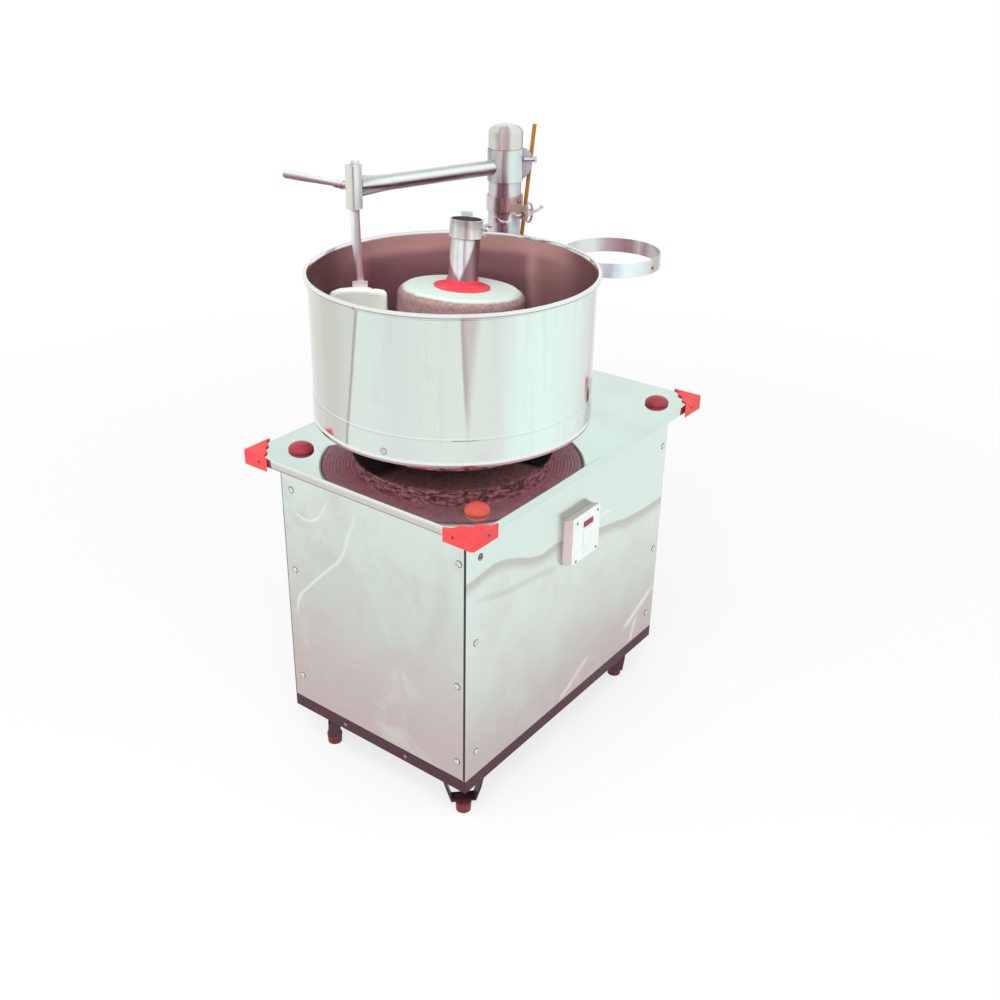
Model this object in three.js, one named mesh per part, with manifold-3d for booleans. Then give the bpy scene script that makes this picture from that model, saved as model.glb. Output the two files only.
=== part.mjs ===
// Table wet grinder with a rotating drum, in millimetres, +Z up.
// The origin lies on the floor under the middle of the cabinet.
// X runs across the cabinet, Y along it; the drum stands towards -Y and the post towards +Y.
import * as THREE from "three";
import { mergeVertices } from "three/addons/utils/BufferGeometryUtils.js";
import Module from "manifold-3d";

const wasm = await Module();
wasm.setup();

// Fits shared by all pieces
const seatGap = 0.3; // between faces that rest on each other
const turnGap = 0.6; // round a piece that turns or slides in another
const overrun = 4; // how far a cutting shape runs past the wall that it cuts
const bigSides = 54;
const roundSides = 28;
const hiddenSides = 20;
const smallSides = 14;

// Feet: a rubber pad under a strap bent like a hat, welded under the base rail
const padRadius = 15;
const padHeight = 20;
const padRimShare = 0.1;
const strapWidth = 24;
const strapThickness = 3.5;
const strapFlat = 46;
const strapSpan = 74;
const strapRise = 46;
const strapInset = 7;

// Base frame of angle iron, with the feet set in from its corners
const cabinetWidth = 420;
const cabinetDepth = 640;
const cornerInset = new THREE.Vector2(26, 28);
const nearInset = new THREE.Vector2(77, 23);
const farInset = new THREE.Vector2(33, 82);
const railHeight = 26;
const railThickness = 3.5;
const railFlange = 50;
const railBottom = padHeight + seatGap + strapRise + seatGap;
const railTop = railBottom + railHeight;
const flangeTop = railBottom + railThickness;

// Side sheets and inner frame
const sheetThickness = 1.4;
const sheetHeight = 521;
const seamGap = 1.2;
const uprightLeg = 30;
const uprightThickness = 3;
const ledgeHeight = 15;
const ledgeDrop = 63;
const sheetBottom = railTop + seatGap;
const sheetTop = sheetBottom + sheetHeight;
const ledgeTop = sheetTop - ledgeDrop;

// Top tray, an upturned shallow pan
const trayOverSide = 40;
const trayOverEnd = 38;
const trayWidth = cabinetWidth + trayOverSide * 2;
const trayDepth = cabinetDepth + trayOverEnd * 2;
const traySheet = 1.5;
const trayLip = 16;
const trayCorner = 5;
const trayUnder = sheetTop + seatGap;
const trayTop = trayUnder + traySheet;

// Corner guards, triangular caps over the tray corners
const guardAcross = 55;
const guardAlong = 60;
const guardWall = 4.4;
const guardTopWall = 2.2;
const guardCorner = 6;
const guardWave = 2.4;
const guardDrop = 23;

// Domed plugs in the tray
const plugRadius = 22.5;
const plugHeight = 14;
const plugWaist = 17.5;
const plugRim = 5;
const plugStemRadius = 6.5;
const plugStem = traySheet + seatGap;
const plugInsets = [
  new THREE.Vector2(47, 73),
  new THREE.Vector2(71, 63),
  new THREE.Vector2(47, 79),
  new THREE.Vector2(71, 72),
];

// The corners of the machine, each with the signs of its X and Y
const corners = [
  ["front", 1, -1],
  ["left", -1, -1],
  ["right", 1, 1],
  ["back", -1, 1],
];
const plugPlaces = corners.map(([, sx, sy], i) => inFrom(trayWidth, trayDepth, sx, sy, plugInsets[i]));

// Switch box on the +X side
const boxCentreY = 5;
const boxDrop = 159;
const boxCentreZ = sheetTop - boxDrop;
const boxWidth = 96;
const boxHeight = 96;
const boxDepth = 13;
const boxWall = 3;
const boxCorner = 7;
const coverShift = 6;
const coverWidth = 82;
const coverHeight = 92;
const coverThickness = 4;
const coverCorner = 4;
const rockerWidth = 31;
const rockerHeight = 50;
const rockerThickness = 7;
const rockerProud = 2;
const rockerBelow = 10;
const rockerTilt = THREE.MathUtils.degToRad(4);
const rockerPlay = 0.8;
const rockerShift = 2.5;
const lensHeight = 11;
const lensAbove = 24;
const lensProud = 0.8;

// Cord inlet on the -X side
const glandInset = 70;
const glandY = cabinetDepth / 2 - glandInset;
const glandZ = 150;
const glandRadius = 11;
const glandThread = 8;
const glandBore = 4.5;
const glandLength = 18;
const glandNut = 4;
const glandInside = 9;

// Drum: stainless shell round a granite bed
const drumX = -6;
const drumY = -86;
const drumRise = 55.3;
const shellBottom = trayTop + drumRise;
const shellHeight = 256;
const shellRadius = 243.4;
const shellWall = 1.6;
const shellStep = 1.2;
const stepHeight = 45;
const rimOut = 7.8;
const rimHeight = 9;
const beadOut = 2.6;
const beadHeight = 11;
const bedThickness = 84;
const bedEdgeRise = 7;
const bedEdge = 10;
const bossRadius = 182;
const bossDepth = 37;
const bossChamfer = 3;
const bedUnder = shellBottom + seatGap;
const bedTop = bedUnder + bedThickness;
const bossBottom = bedUnder - bossDepth;
const bedRadius = shellRadius - shellWall - seatGap;
const drumTop = shellBottom + shellHeight;

// Hub, shaft, bearing and drive under the drum
const shaftRadius = 17.5;
const hubPlateRadius = 110;
const hubPlateThickness = 8;
const hubRadius = 28;
const hubHeight = 30;
const hubHeadroom = 4;
const neckRadius = 42;
const neckUnderHub = 4;
const housingFlangeRadius = 85;
const housingFlange = 14;
const housingRadius = 52;
const housingDrop = 120;
const holeClearance = 3;
const bridgeLength = 200;
const bridgeThickness = 8;
const bridgeTop = ledgeTop + seatGap + bridgeThickness;
const pulleyRoom = 29;
const pulleyRadius = cabinetWidth / 2 + drumX - pulleyRoom;
const pulleyHeight = 26;
const pulleyRim = 16;
const pulleyWeb = 8;
const pulleyHub = 38;
const pulleyHubDrop = 12;
const pulleyWindow = 30;
const pulleyWindows = 5;
const windowSides = 10;
const grooveDepth = 9;
const grooveHeight = 13;
const beltThickness = 8;
const beltHeight = 11;
const motorX = drumX;
const motorInset = 120;
const motorY = cabinetDepth / 2 - motorInset;
const motorPulleyRadius = 30;
const motorPulleyBore = 9;
const motorRadius = 82;
const motorHeight = 190;
const motorRib = 4;
const motorRibWidth = 5;
const motorRibs = 6;
const motorShield = 20;
const motorBossRadius = 30;
const motorShaftInside = 60;
const motorPlateLength = 190;
const motorPlateThickness = 6;
const drivePlane = 300;

// Roller stone with flange, sleeve and collar, leaning with its foot cone flat on the bed
const rollerBeside = -55;
const rollerBehind = 84.5;
const rollerX = drumX + rollerBeside;
const rollerY = drumY + rollerBehind;
const rollerLean = THREE.MathUtils.degToRad(6.3);
const rollerRoom = 26.3;
const rollerRadius = shellRadius - shellWall - Math.hypot(rollerBeside, rollerBehind) - rollerRoom;
const rollerHeight = 105;
const rollerFootStep = 8.7;
const rollerFootRadius = rollerRadius - rollerFootStep;
const rollerFootRound = 9;
const rollerShoulder = 18;
const rollerTopStep = 17.7;
const rollerTopRadius = rollerRadius - rollerTopStep;
const rollerTaper = 1.5;
const spigotRadius = 20;
const spigotDepth = 18;
const rollerFlangeRadius = 51;
const rollerFlangeEdge = 2.2;
const rollerFlangeHeight = 4.5;
const flangeCollarHeight = 10;
const flangeCollarWall = 2.4;
const flangeTab = 7;
const flangeTabThickness = 1.6;
const flangeTabWidth = 5;
const sleeveRadius = 26.6;
const sleeveWall = 1.6;
const sleeveHeight = 92;
const mouthWall = 2.4;
const mouthHeight = 31;
const mouthOverlap = 8;
const mouthLip = 0.8;
const lugWidth = 21;
const lugHeight = 9;
const lugThickness = 3;

// Post with its cap
const postRadius = 30.5;
const postRoom = 15.285;
const postBearing = THREE.MathUtils.degToRad(109.472);
const postAway = shellRadius + rimOut + postRoom + postRadius;
const postX = drumX + postAway * Math.cos(postBearing);
const postY = drumY + postAway * Math.sin(postBearing);
const postWall = 2.5;
const postFootRadius = 52;
const postFoot = 8;
const postHeight = 462;
const capWall = 0.9;
const capSkirt = 16.4;
const capDome = 26;
const capRound = 11;
const socketWall = 3;
const socketDepth = 11;
const socketHeight = 14;
const postFootZ = trayTop + seatGap;
const postTop = postFootZ + postFoot + postHeight;
const capBottom = postTop - capSkirt + capWall;

// Bearings of the view from which right-hand side and far side of the post are named
const sideTurn = THREE.MathUtils.degToRad(38.4);

// Scraper arm: sleeve, rib, lock bolt, tube, square holder, clamp screw
const sleeveClearance = 0.4;
const armSleeveWall = 2.2;
const armSleeveHeight = 58;
const ribThickness = 4;
const ribReach = 17;
const ribOffset = 3;
const boltRadius = 4.5;
const boltLength = 20;
const boltHead = 4;
const boltHeadExtra = 1.2;
const boltOffset = -6;
const boltDrop = 20;
const armRadius = 13.8;
const armDrop = 32;
const armFlatShare = 0.78;
const armTipHalfHeight = 18.5;
const armTipHalfWidth = 6.5;
const scraperRoom = 46.674;
const scraperBearing = THREE.MathUtils.degToRad(187.595);
const holderX = drumX + (shellRadius - scraperRoom) * Math.cos(scraperBearing);
const holderY = drumY + (shellRadius - scraperRoom) * Math.sin(scraperBearing);
const holderSide = 22;
const holderWall = 2;
const holderCorner = 3;
const holderUp = 38;
const holderDown = 37;
const holderEar = 6;
const screwRadius = 4.6;
const screwBoss = 9;
const screwBossLength = 5;
const screwNut = 7.5;
const screwNutLength = 9;
const screwNeck = 10;
const handleRadius = 7;
const handleLength = 141;
const armSleeveOuter = postRadius + sleeveClearance + armSleeveWall;
const armSleeveTop = capBottom - seatGap;
const armSleeveBottom = armSleeveTop - armSleeveHeight;
const armZ = armSleeveTop - armDrop;

// Scraper stem and paddle
const stemRadius = 8.6;
const stemTipRadius = 5.8;
const stemLength = 200;
const stemTaper = 122;
const stemLean = 6.5;
const stemBelowTop = 4;
const tongueWidth = 24;
const tongueThickness = 4;
const tongueLength = 46;
const gussetWidth = 15;
const gussetHeight = 11;
const paddleWidth = 103;
const paddleHeight = 108;
const paddleThickness = 15;
const paddleShoulder = 30;
const paddleToe = 16;
const paddleAboveBed = 2.5;
const paddleShift = 1.5;

// Lower collar with eye lug, yoke bar and loop wing nut
const collarWall = 3.4;
const collarHeight = 27.7;
const collarRise = 334;
const collarBottom = postFootZ + postFoot + collarRise;
const eyeLugBefore = 19;
const eyeLugY = postY - eyeLugBefore;
const eyeLugThickness = 6;
const eyeLugReach = 9;
const eyeLugDrop = 9;
const eyeLugUp = 16;
const eyePlay = 1.2;
const yokeBeside = 54.4;
const yokeX = postX + yokeBeside;
const yokeRise = 1.6;
const yokeZ = collarBottom + yokeRise;
const yokeHeading = THREE.MathUtils.degToRad(5.5);
const yokeRadius = 3.2;
const yokeFirst = 98;
const yokeFirstDrop = 2.5;
const kickPlaces = [75, 27];
const kickHalf = 9.5;
const kickRise = 7.5;
const kickSag = 6;
const yokeStraight = 12;
const yokeTail = 15;
const yokeTailRise = 5;
const yokeTravel = 10;
const nutRadius = 7;
const nutLength = 15;
const nutPlay = 0.4;
const wingHalfHeight = 19;
const wingHalfLength = 12;
const wingThickness = 3.5;
const wingRim = 3.2;
const saddleClearance = 1.6;
const saddleWidth = 6;
const saddlePlate = 3;
const saddleSpace = 8;
const saddleStart = THREE.MathUtils.degToRad(30);
const saddleEnd = THREE.MathUtils.degToRad(150);
const saddleBlock = 9;

// Band ring on its swivel bracket
const ringBeside = 188;
const ringBehind = 84;
const ringX = postX + ringBeside;
const ringY = postY + ringBehind;
const ringRadius = 91;
const ringWall = 2.5;
const ringHeight = 26.6;
const ringRise = 242.8;
const ringBottom = postFootZ + postFoot + ringRise;
const bracketBarHeight = 13;
const bracketBarThickness = 5;
const bracketPad = 22;
const bracketPadHeight = 18;
const bracketCollarHeight = 22;
const bracketCollarDrop = 12;

// Thin rod in its socket on the post
const rodRadius = 3.8;
const rodLength = 228;
const rodSide = 32.7;
const rodBack = 14;
const rodLean = THREE.MathUtils.degToRad(5.1);
const rodPlay = 0.5;
const rodRise = 16.2;
const rodBottom = ringBottom + rodRise;

const steel = ["#dfe8e3", 0.18, 0.95];
const satinSteel = ["#cfd8d3", 0.3, 0.9];
const darkPaint = ["#59404a", 0.6, 0.3];
const rawIron = ["#6a6266", 0.55, 0.8];
const redPlastic = ["#f4605f", 0.4, 0];
const plugPlastic = ["#a23c48", 0.45, 0];
const redRubber = ["#9c2f35", 0.7, 0];
const whitePlastic = ["#eef6f0", 0.35, 0];
const creamPlastic = ["#e4ece0", 0.5, 0];
const granite = ["#b08f94", 0.8, 0];
const blackRubber = ["#26242a", 0.8, 0];
const castPaint = ["#5d6f78", 0.5, 0.3];
const brownLacquer = ["#b5752f", 0.4, 0.2];

function toSolid(geometry) {
  const bare = geometry.clone();
  bare.deleteAttribute("normal");
  bare.deleteAttribute("uv");
  const merged = mergeVertices(bare);
  return new wasm.Manifold(
    new wasm.Mesh({
      numProp: 3,
      vertProperties: new Float32Array(merged.attributes.position.array),
      triVerts: new Uint32Array(merged.index.array),
    }),
  );
}

function toGeometry(solid) {
  const mesh = solid.getMesh();
  const geometry = new THREE.BufferGeometry();
  geometry.setAttribute("position", new THREE.BufferAttribute(mesh.vertProperties.slice(), 3));
  geometry.setIndex(new THREE.BufferAttribute(mesh.triVerts.slice(), 1));
  geometry.computeVertexNormals();
  return geometry;
}

function join(...geometries) {
  const solids = geometries.map(toSolid);
  return toGeometry(solids.reduce((whole, next) => whole.add(next)));
}

function cut(geometry, ...tools) {
  const solids = tools.map(toSolid);
  return toGeometry(solids.reduce((whole, tool) => whole.subtract(tool), toSolid(geometry)));
}

// A block given by its low corner and its size
function block(x, y, z, width, depth, height) {
  const geometry = new THREE.BoxGeometry(width, depth, height);
  return geometry.translate(x + width / 2, y + depth / 2, z + height / 2);
}

// A round bar standing on z at x, y
function upright(x, y, z, radius, height, sides = roundSides) {
  const geometry = new THREE.CylinderGeometry(radius, radius, height, sides);
  return geometry.rotateX(Math.PI / 2).translate(x, y, z + height / 2);
}

// A revolve about Z of [radius, height] points, outside face first and upwards
function turned(points, sides = roundSides) {
  const profile = points.map(([radius, height]) => new THREE.Vector2(radius, height));
  return new THREE.LatheGeometry(profile, sides).rotateX(Math.PI / 2);
}

function tube(innerRadius, outerRadius, bottom, height, sides = roundSides) {
  const top = bottom + height;
  return turned(
    [
      [innerRadius, bottom],
      [outerRadius, bottom],
      [outerRadius, top],
      [innerRadius, top],
      [innerRadius, bottom],
    ],
    sides,
  );
}

function extruded(shape, height, curveSegments = 6) {
  return new THREE.ExtrudeGeometry(shape, { depth: height, bevelEnabled: false, curveSegments });
}

// A centred rectangle with round corners
function roundedOutline(width, height, radius) {
  const x = width / 2 - radius;
  const y = height / 2 - radius;
  const shape = new THREE.Shape();
  shape.absarc(x, y, radius, 0, Math.PI / 2);
  shape.absarc(-x, y, radius, Math.PI / 2, Math.PI);
  shape.absarc(-x, -y, radius, Math.PI, Math.PI * 1.5);
  shape.absarc(x, -y, radius, Math.PI * 1.5, Math.PI * 2);
  return shape;
}

// Turns a plate drawn in the XY plane so that it lies on a wall facing +X
function facingX(geometry) {
  return geometry.rotateX(Math.PI / 2).rotateZ(Math.PI / 2);
}

// A round bar along X, Y or any direction
function barAlong(start, direction, radius, length, sides = smallSides) {
  const geometry = new THREE.CylinderGeometry(radius, radius, length, sides);
  const turn = new THREE.Quaternion().setFromUnitVectors(new THREE.Vector3(0, 1, 0), direction);
  geometry.translate(0, length / 2, 0).applyQuaternion(turn);
  return geometry.translate(start.x, start.y, start.z);
}

// A rod that follows a smooth path
function bentBar(points, radius, steps, sides = 8) {
  const section = new THREE.Shape().absarc(0, 0, radius, 0, Math.PI * 2);
  const path = new THREE.CatmullRomCurve3(points, false, "centripetal");
  return new THREE.ExtrudeGeometry(section, {
    steps,
    extrudePath: path,
    bevelEnabled: false,
    curveSegments: sides / 2,
  });
}

// A closed body along X through elliptic rings, each [along, halfWidth, halfHeight, sideways]
function lofted(rings, sides) {
  const corners = [];
  const faces = [];
  for (const [along, halfWidth, halfHeight, sideways = 0] of rings) {
    for (let i = 0; i < sides; i += 1) {
      const angle = (i / sides) * Math.PI * 2;
      corners.push(along, sideways + halfWidth * Math.cos(angle), halfHeight * Math.sin(angle));
    }
  }
  for (let ring = 0; ring + 1 < rings.length; ring += 1) {
    for (let i = 0; i < sides; i += 1) {
      const a = ring * sides + i;
      const b = ring * sides + ((i + 1) % sides);
      faces.push(a, b, a + sides, b, b + sides, a + sides);
    }
  }
  const last = (rings.length - 1) * sides;
  for (let i = 1; i + 1 < sides; i += 1) {
    faces.push(0, i + 1, i);
    faces.push(last, last + i, last + i + 1);
  }
  const geometry = new THREE.BufferGeometry();
  geometry.setAttribute("position", new THREE.Float32BufferAttribute(corners, 3));
  geometry.setIndex(faces);
  geometry.computeVertexNormals();
  return geometry;
}

const grinder = new THREE.Group();

function piece(name, geometry, [color, roughness, metalness], parent = grinder) {
  const material = new THREE.MeshStandardMaterial({ color, roughness, metalness });
  const mesh = new THREE.Mesh(geometry, material);
  mesh.name = name;
  parent.add(mesh);
  return mesh;
}

// The strap as a bent strip: the flat over the pad and two legs spread up to the rail
function strapShape() {
  const half = strapSpan / 2;
  const flat = strapFlat / 2;
  const t = strapThickness;
  const spread = half - flat;
  const legAcross = (t * Math.hypot(strapRise, spread)) / strapRise;
  const inner = flat + (spread * t) / strapRise - legAcross;
  return new THREE.Shape([
    new THREE.Vector2(-flat, 0),
    new THREE.Vector2(flat, 0),
    new THREE.Vector2(half, strapRise),
    new THREE.Vector2(half - legAcross, strapRise),
    new THREE.Vector2(inner, t),
    new THREE.Vector2(-inner, t),
    new THREE.Vector2(-half + legAcross, strapRise),
    new THREE.Vector2(-half, strapRise),
  ]);
}

// The strap's ends are cut flush with the rail's faces
// A place set in from a corner of a rectangle that is centred on the origin
function inFrom(width, depth, sx, sy, inset) {
  return new THREE.Vector2(sx * (width / 2 - inset.x), sy * (depth / 2 - inset.y));
}

function addFoot(label, place, turn, shiftX, shiftY) {
  const rim = padRadius * padRimShare;
  const pad = turned(
    [
      [0, 0],
      [padRadius - rim, 0],
      [padRadius, rim],
      [padRadius, padHeight - rim],
      [padRadius - rim, padHeight],
      [0, padHeight],
    ],
    smallSides,
  );
  piece(`foot_pad_${label}`, pad.translate(place.x, place.y, 0), redRubber);
  const strap = extruded(strapShape(), strapWidth);
  strap.translate(0, 0, -strapWidth / 2).rotateX(Math.PI / 2);
  strap.translate(shiftX, shiftY, padHeight + seatGap).rotateZ(turn).translate(place.x, place.y, 0);
  const around = frameRing(
    cabinetWidth + strapSpan * 2,
    cabinetDepth + strapSpan * 2,
    strapSpan,
    padHeight,
    strapRise * 2,
  );
  piece(`foot_strap_${label}`, cut(strap, around), darkPaint);
}

function frameRing(width, depth, band, bottom, height) {
  const outer = block(-width / 2, -depth / 2, bottom, width, depth, height);
  const inner = block(
    -width / 2 + band,
    -depth / 2 + band,
    bottom - overrun,
    width - band * 2,
    depth - band * 2,
    height + overrun * 2,
  );
  return cut(outer, inner);
}

function addBaseFrame() {
  const wall = frameRing(cabinetWidth, cabinetDepth, railThickness, railBottom, railHeight);
  const flange = frameRing(cabinetWidth, cabinetDepth, railFlange, railBottom, railThickness);
  piece("base_frame", join(wall, flange), darkPaint);
}

function addInnerFrame() {
  const inset = sheetThickness + seatGap;
  const x = cabinetWidth / 2 - inset;
  const y = cabinetDepth / 2 - inset;
  const foot = flangeTop + seatGap;
  const height = sheetTop - foot;
  const parts = [frameRing(x * 2, y * 2, uprightLeg, sheetTop - uprightThickness, uprightThickness)];
  for (const [sx, sy] of [[-1, -1], [1, -1], [-1, 1], [1, 1]]) {
    const inner = railThickness + seatGap - inset;
    const cx = sx * (x - inner);
    const cy = sy * (y - inner);
    const legX = block(Math.min(cx, cx - sx * uprightLeg), Math.min(cy, cy - sy * uprightThickness),
      foot, uprightLeg, uprightThickness, height);
    const legY = block(Math.min(cx, cx - sx * uprightThickness), Math.min(cy, cy - sy * uprightLeg),
      foot, uprightThickness, uprightLeg, height);
    parts.push(join(legX, legY));
  }
  for (const side of [-1, 1]) {
    const edge = side * (x - railThickness);
    const ledgeX = Math.min(edge, edge - side * uprightLeg);
    const run = y - railThickness;
    parts.push(block(ledgeX, -run, ledgeTop - ledgeHeight, uprightLeg, run * 2, ledgeHeight));
  }
  piece("inner_frame", join(...parts), darkPaint);
}

function addSheets() {
  const x = cabinetWidth / 2;
  const y = cabinetDepth / 2;
  const t = sheetThickness;
  const back = block(-x, -y, sheetBottom, t, cabinetDepth, sheetHeight);
  const front = block(x - t, -y, sheetBottom, t, cabinetDepth, sheetHeight);
  const inset = t + seamGap;
  const endWidth = cabinetWidth - inset * 2;
  const threadHole = barAlong(
    new THREE.Vector3(-x - overrun, glandY, glandZ),
    new THREE.Vector3(1, 0, 0),
    glandThread + seatGap,
    t + overrun * 2,
  );
  piece("side_sheet_front", front, steel);
  piece("side_sheet_back", cut(back, threadHole), steel);
  piece("end_sheet_near", block(-x + inset, -y, sheetBottom, endWidth, t, sheetHeight), steel);
  piece("end_sheet_far", block(-x + inset, y - t, sheetBottom, endWidth, t, sheetHeight), steel);
}

function addTray() {
  const bottom = trayTop - trayLip;
  const outer = extruded(roundedOutline(trayWidth, trayDepth, trayCorner), trayLip);
  outer.translate(0, 0, bottom);
  const inner = extruded(
    roundedOutline(trayWidth - traySheet * 2, trayDepth - traySheet * 2, trayCorner - traySheet),
    trayLip - traySheet + overrun,
  );
  inner.translate(0, 0, bottom - overrun);
  const holes = plugPlaces.map((place) =>
    upright(place.x, place.y, trayUnder - overrun, plugStemRadius + seatGap, traySheet + overrun * 2, smallSides),
  );
  const neck = upright(drumX, drumY, trayUnder - overrun, neckRadius + holeClearance,
    traySheet + overrun * 2);
  piece("top_tray", cut(outer, inner, neck, ...holes), steel);
}

// The guard's outline, with its corner at the origin and its legs along -X and -Y
function guardOutline() {
  const out = guardWall + seatGap;
  const shape = new THREE.Shape();
  shape.moveTo(out, -guardAlong);
  shape.lineTo(out, out - guardCorner);
  shape.absarc(out - guardCorner, out - guardCorner, guardCorner, 0, Math.PI / 2);
  shape.lineTo(-guardAcross, out);
  const waves = 3;
  const from = new THREE.Vector2(-guardAcross, out);
  const to = new THREE.Vector2(out, -guardAlong);
  const side = new THREE.Vector2(1, 1).normalize();
  const points = [];
  const steps = waves * 6;
  for (let i = 1; i < steps; i += 1) {
    const share = i / steps;
    const bulge = (1 - Math.cos(share * waves * Math.PI * 2)) * guardWave;
    points.push(from.clone().lerp(to, share).addScaledVector(side, bulge));
  }
  points.forEach((point) => shape.lineTo(point.x, point.y));
  return shape;
}

function addGuard(label, sx, sy) {
  const top = trayTop + seatGap + guardTopWall;
  const cap = extruded(guardOutline(), guardDrop + guardTopWall, 4);
  cap.translate(0, 0, top - guardDrop - guardTopWall);
  const reach = guardAcross + guardAlong;
  const hollow = extruded(roundedOutline(reach * 2, reach * 2, trayCorner), reach);
  hollow.translate(seatGap - reach, seatGap - reach, trayTop + seatGap - reach);
  let geometry = cut(cap, hollow);
  if (sx * sy < 0) geometry = mirrored(geometry);
  const mesh = piece(`corner_guard_${label}`, geometry, redPlastic);
  mesh.position.set((sx * trayWidth) / 2, (sy * trayDepth) / 2, 0);
  mesh.rotation.z = sx > 0 ? 0 : Math.PI;
}

// Mirrors across the XZ plane and keeps the faces outward
function mirrored(geometry) {
  const flipped = geometry.clone().scale(1, -1, 1);
  const index = flipped.index.array;
  for (let i = 0; i < index.length; i += 3) {
    const held = index[i];
    index[i] = index[i + 1];
    index[i + 1] = held;
  }
  flipped.computeVertexNormals();
  return flipped;
}

function addPlug(label, place) {
  const base = trayTop + seatGap;
  const points = [
    [0, -plugStem],
    [plugStemRadius, -plugStem],
    [plugStemRadius, 0],
    [plugWaist, 0],
    [plugRadius, plugRim],
  ];
  const steps = 4;
  for (let i = 1; i < steps; i += 1) {
    const angle = (i / steps) * (Math.PI / 2);
    points.push([plugRadius * Math.cos(angle), plugRim + (plugHeight - plugRim) * Math.sin(angle)]);
  }
  points.push([0, plugHeight]);
  const plug = turned(points, hiddenSides);
  piece(`tray_plug_${label}`, plug.translate(place.x, place.y, base), plugPlastic);
}

function addSwitch() {
  const wallX = cabinetWidth / 2 + seatGap;
  const box = cut(
    extruded(roundedOutline(boxWidth, boxHeight, boxCorner), boxDepth),
    extruded(
      roundedOutline(boxWidth - boxWall * 2, boxHeight - boxWall * 2, boxCorner - boxWall),
      boxDepth,
    ).translate(0, 0, boxWall),
  );
  const unit = new THREE.Group();
  unit.position.set(wallX, boxCentreY, boxCentreZ);
  grinder.add(unit);
  piece("switch_box", facingX(box), whitePlastic, unit);

  const rockerY = coverShift + rockerShift;
  const windowWidth = rockerWidth + rockerPlay * 2;
  const cover = cut(
    extruded(roundedOutline(coverWidth, coverHeight, coverCorner), coverThickness)
      .translate(coverShift, 0, boxDepth + seatGap),
    block(rockerY - windowWidth / 2, -rockerBelow - rockerHeight / 2 - rockerPlay, boxDepth - overrun,
      windowWidth, rockerHeight + rockerPlay * 2, coverThickness + overrun * 2),
    block(rockerY - rockerWidth / 2 - seatGap, lensAbove - lensHeight / 2 - seatGap,
      boxDepth - overrun, rockerWidth + seatGap * 2, lensHeight + seatGap * 2,
      coverThickness + overrun * 2),
  );
  piece("switch_cover", facingX(cover), whitePlastic, unit);

  const rocker = new THREE.Group();
  const face = boxDepth + seatGap + coverThickness + rockerProud;
  rocker.position.set(face - rockerThickness, rockerY, -rockerBelow);
  rocker.rotation.y = rockerTilt;
  unit.add(rocker);
  const side = roundedOutline(rockerHeight, rockerThickness, rockerThickness / 4);
  const key = extruded(side, rockerWidth).translate(0, rockerThickness / 2, -rockerWidth / 2);
  key.rotateX(Math.PI / 2).rotateY(Math.PI / 2);
  piece("switch_rocker", key, whitePlastic, rocker);

  const lensFront = boxDepth + seatGap + coverThickness + lensProud;
  const lens = block(rockerY - rockerWidth / 2, lensAbove - lensHeight / 2, boxWall + seatGap,
    rockerWidth, lensHeight, lensFront - boxWall - seatGap);
  piece("pilot_lens", facingX(lens), ["#b03048", 0.25, 0], unit);
}

function addGland() {
  const outside = [
    [glandBore, -glandInside],
    [glandThread, -glandInside],
    [glandThread, 0],
    [glandThread, sheetThickness + seatGap * 2],
    [glandRadius, sheetThickness + seatGap * 2],
    [glandRadius, sheetThickness + seatGap * 2 + glandNut],
    [glandThread, sheetThickness + seatGap * 2 + glandNut],
    [glandThread, glandLength * 0.7],
    [glandBore + (glandThread - glandBore) / 2, glandLength],
    [glandBore, glandLength],
    [glandBore, -glandInside],
  ];
  const gland = turned(outside, windowSides).rotateY(-Math.PI / 2);
  gland.translate(-cabinetWidth / 2 + sheetThickness + seatGap, glandY, glandZ);
  piece("cord_gland", gland, blackRubber);
}

function addDrum(parent) {
  const outer = shellRadius;
  const inner = shellRadius - shellWall;
  const top = drumTop;
  const low = shellBottom;
  const lower = outer + shellStep;
  const bead = outer + beadOut;
  const rim = outer + rimOut;
  const shell = turned(
    [
      [inner + shellStep, low],
      [bead - beadOut / 2, low],
      [bead, low + beadHeight * 0.3],
      [bead, low + beadHeight * 0.7],
      [lower, low + beadHeight],
      [lower, low + stepHeight - shellStep],
      [outer, low + stepHeight + shellStep],
      [outer, top - rimHeight],
      [rim - rimOut / 3, top - rimHeight],
      [rim, top - rimHeight * 0.7],
      [rim, top - rimHeight * 0.25],
      [rim - rimOut / 3, top],
      [inner + shellWall / 2, top],
      [inner - shellWall / 4, top - rimHeight * 0.25],
      [inner, top - rimHeight * 0.5],
      [inner, low + stepHeight + shellStep],
      [inner + shellStep, low + stepHeight - shellStep],
      [inner + shellStep, low],
    ],
    bigSides,
  );
  piece("drum_shell", shell.translate(drumX, drumY, 0), steel, parent);

  const boreTop = bossBottom + hubHeight + hubHeadroom;
  const stone = turned(
    [
      [0, boreTop],
      [hubRadius + seatGap, boreTop],
      [hubRadius + seatGap, bossBottom],
      [bossRadius - bossChamfer, bossBottom],
      [bossRadius, bossBottom + bossChamfer],
      [bossRadius, bedUnder],
      [bedRadius, bedUnder],
      [bedRadius, bedTop + bedEdgeRise],
      [bedRadius - bedEdge * 0.4, bedTop + bedEdgeRise * 0.4],
      [bedRadius - bedEdge, bedTop],
      [0, bedTop],
    ],
    bigSides,
  );
  piece("bed_stone", stone.translate(drumX, drumY, 0), granite, parent);
}

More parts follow.
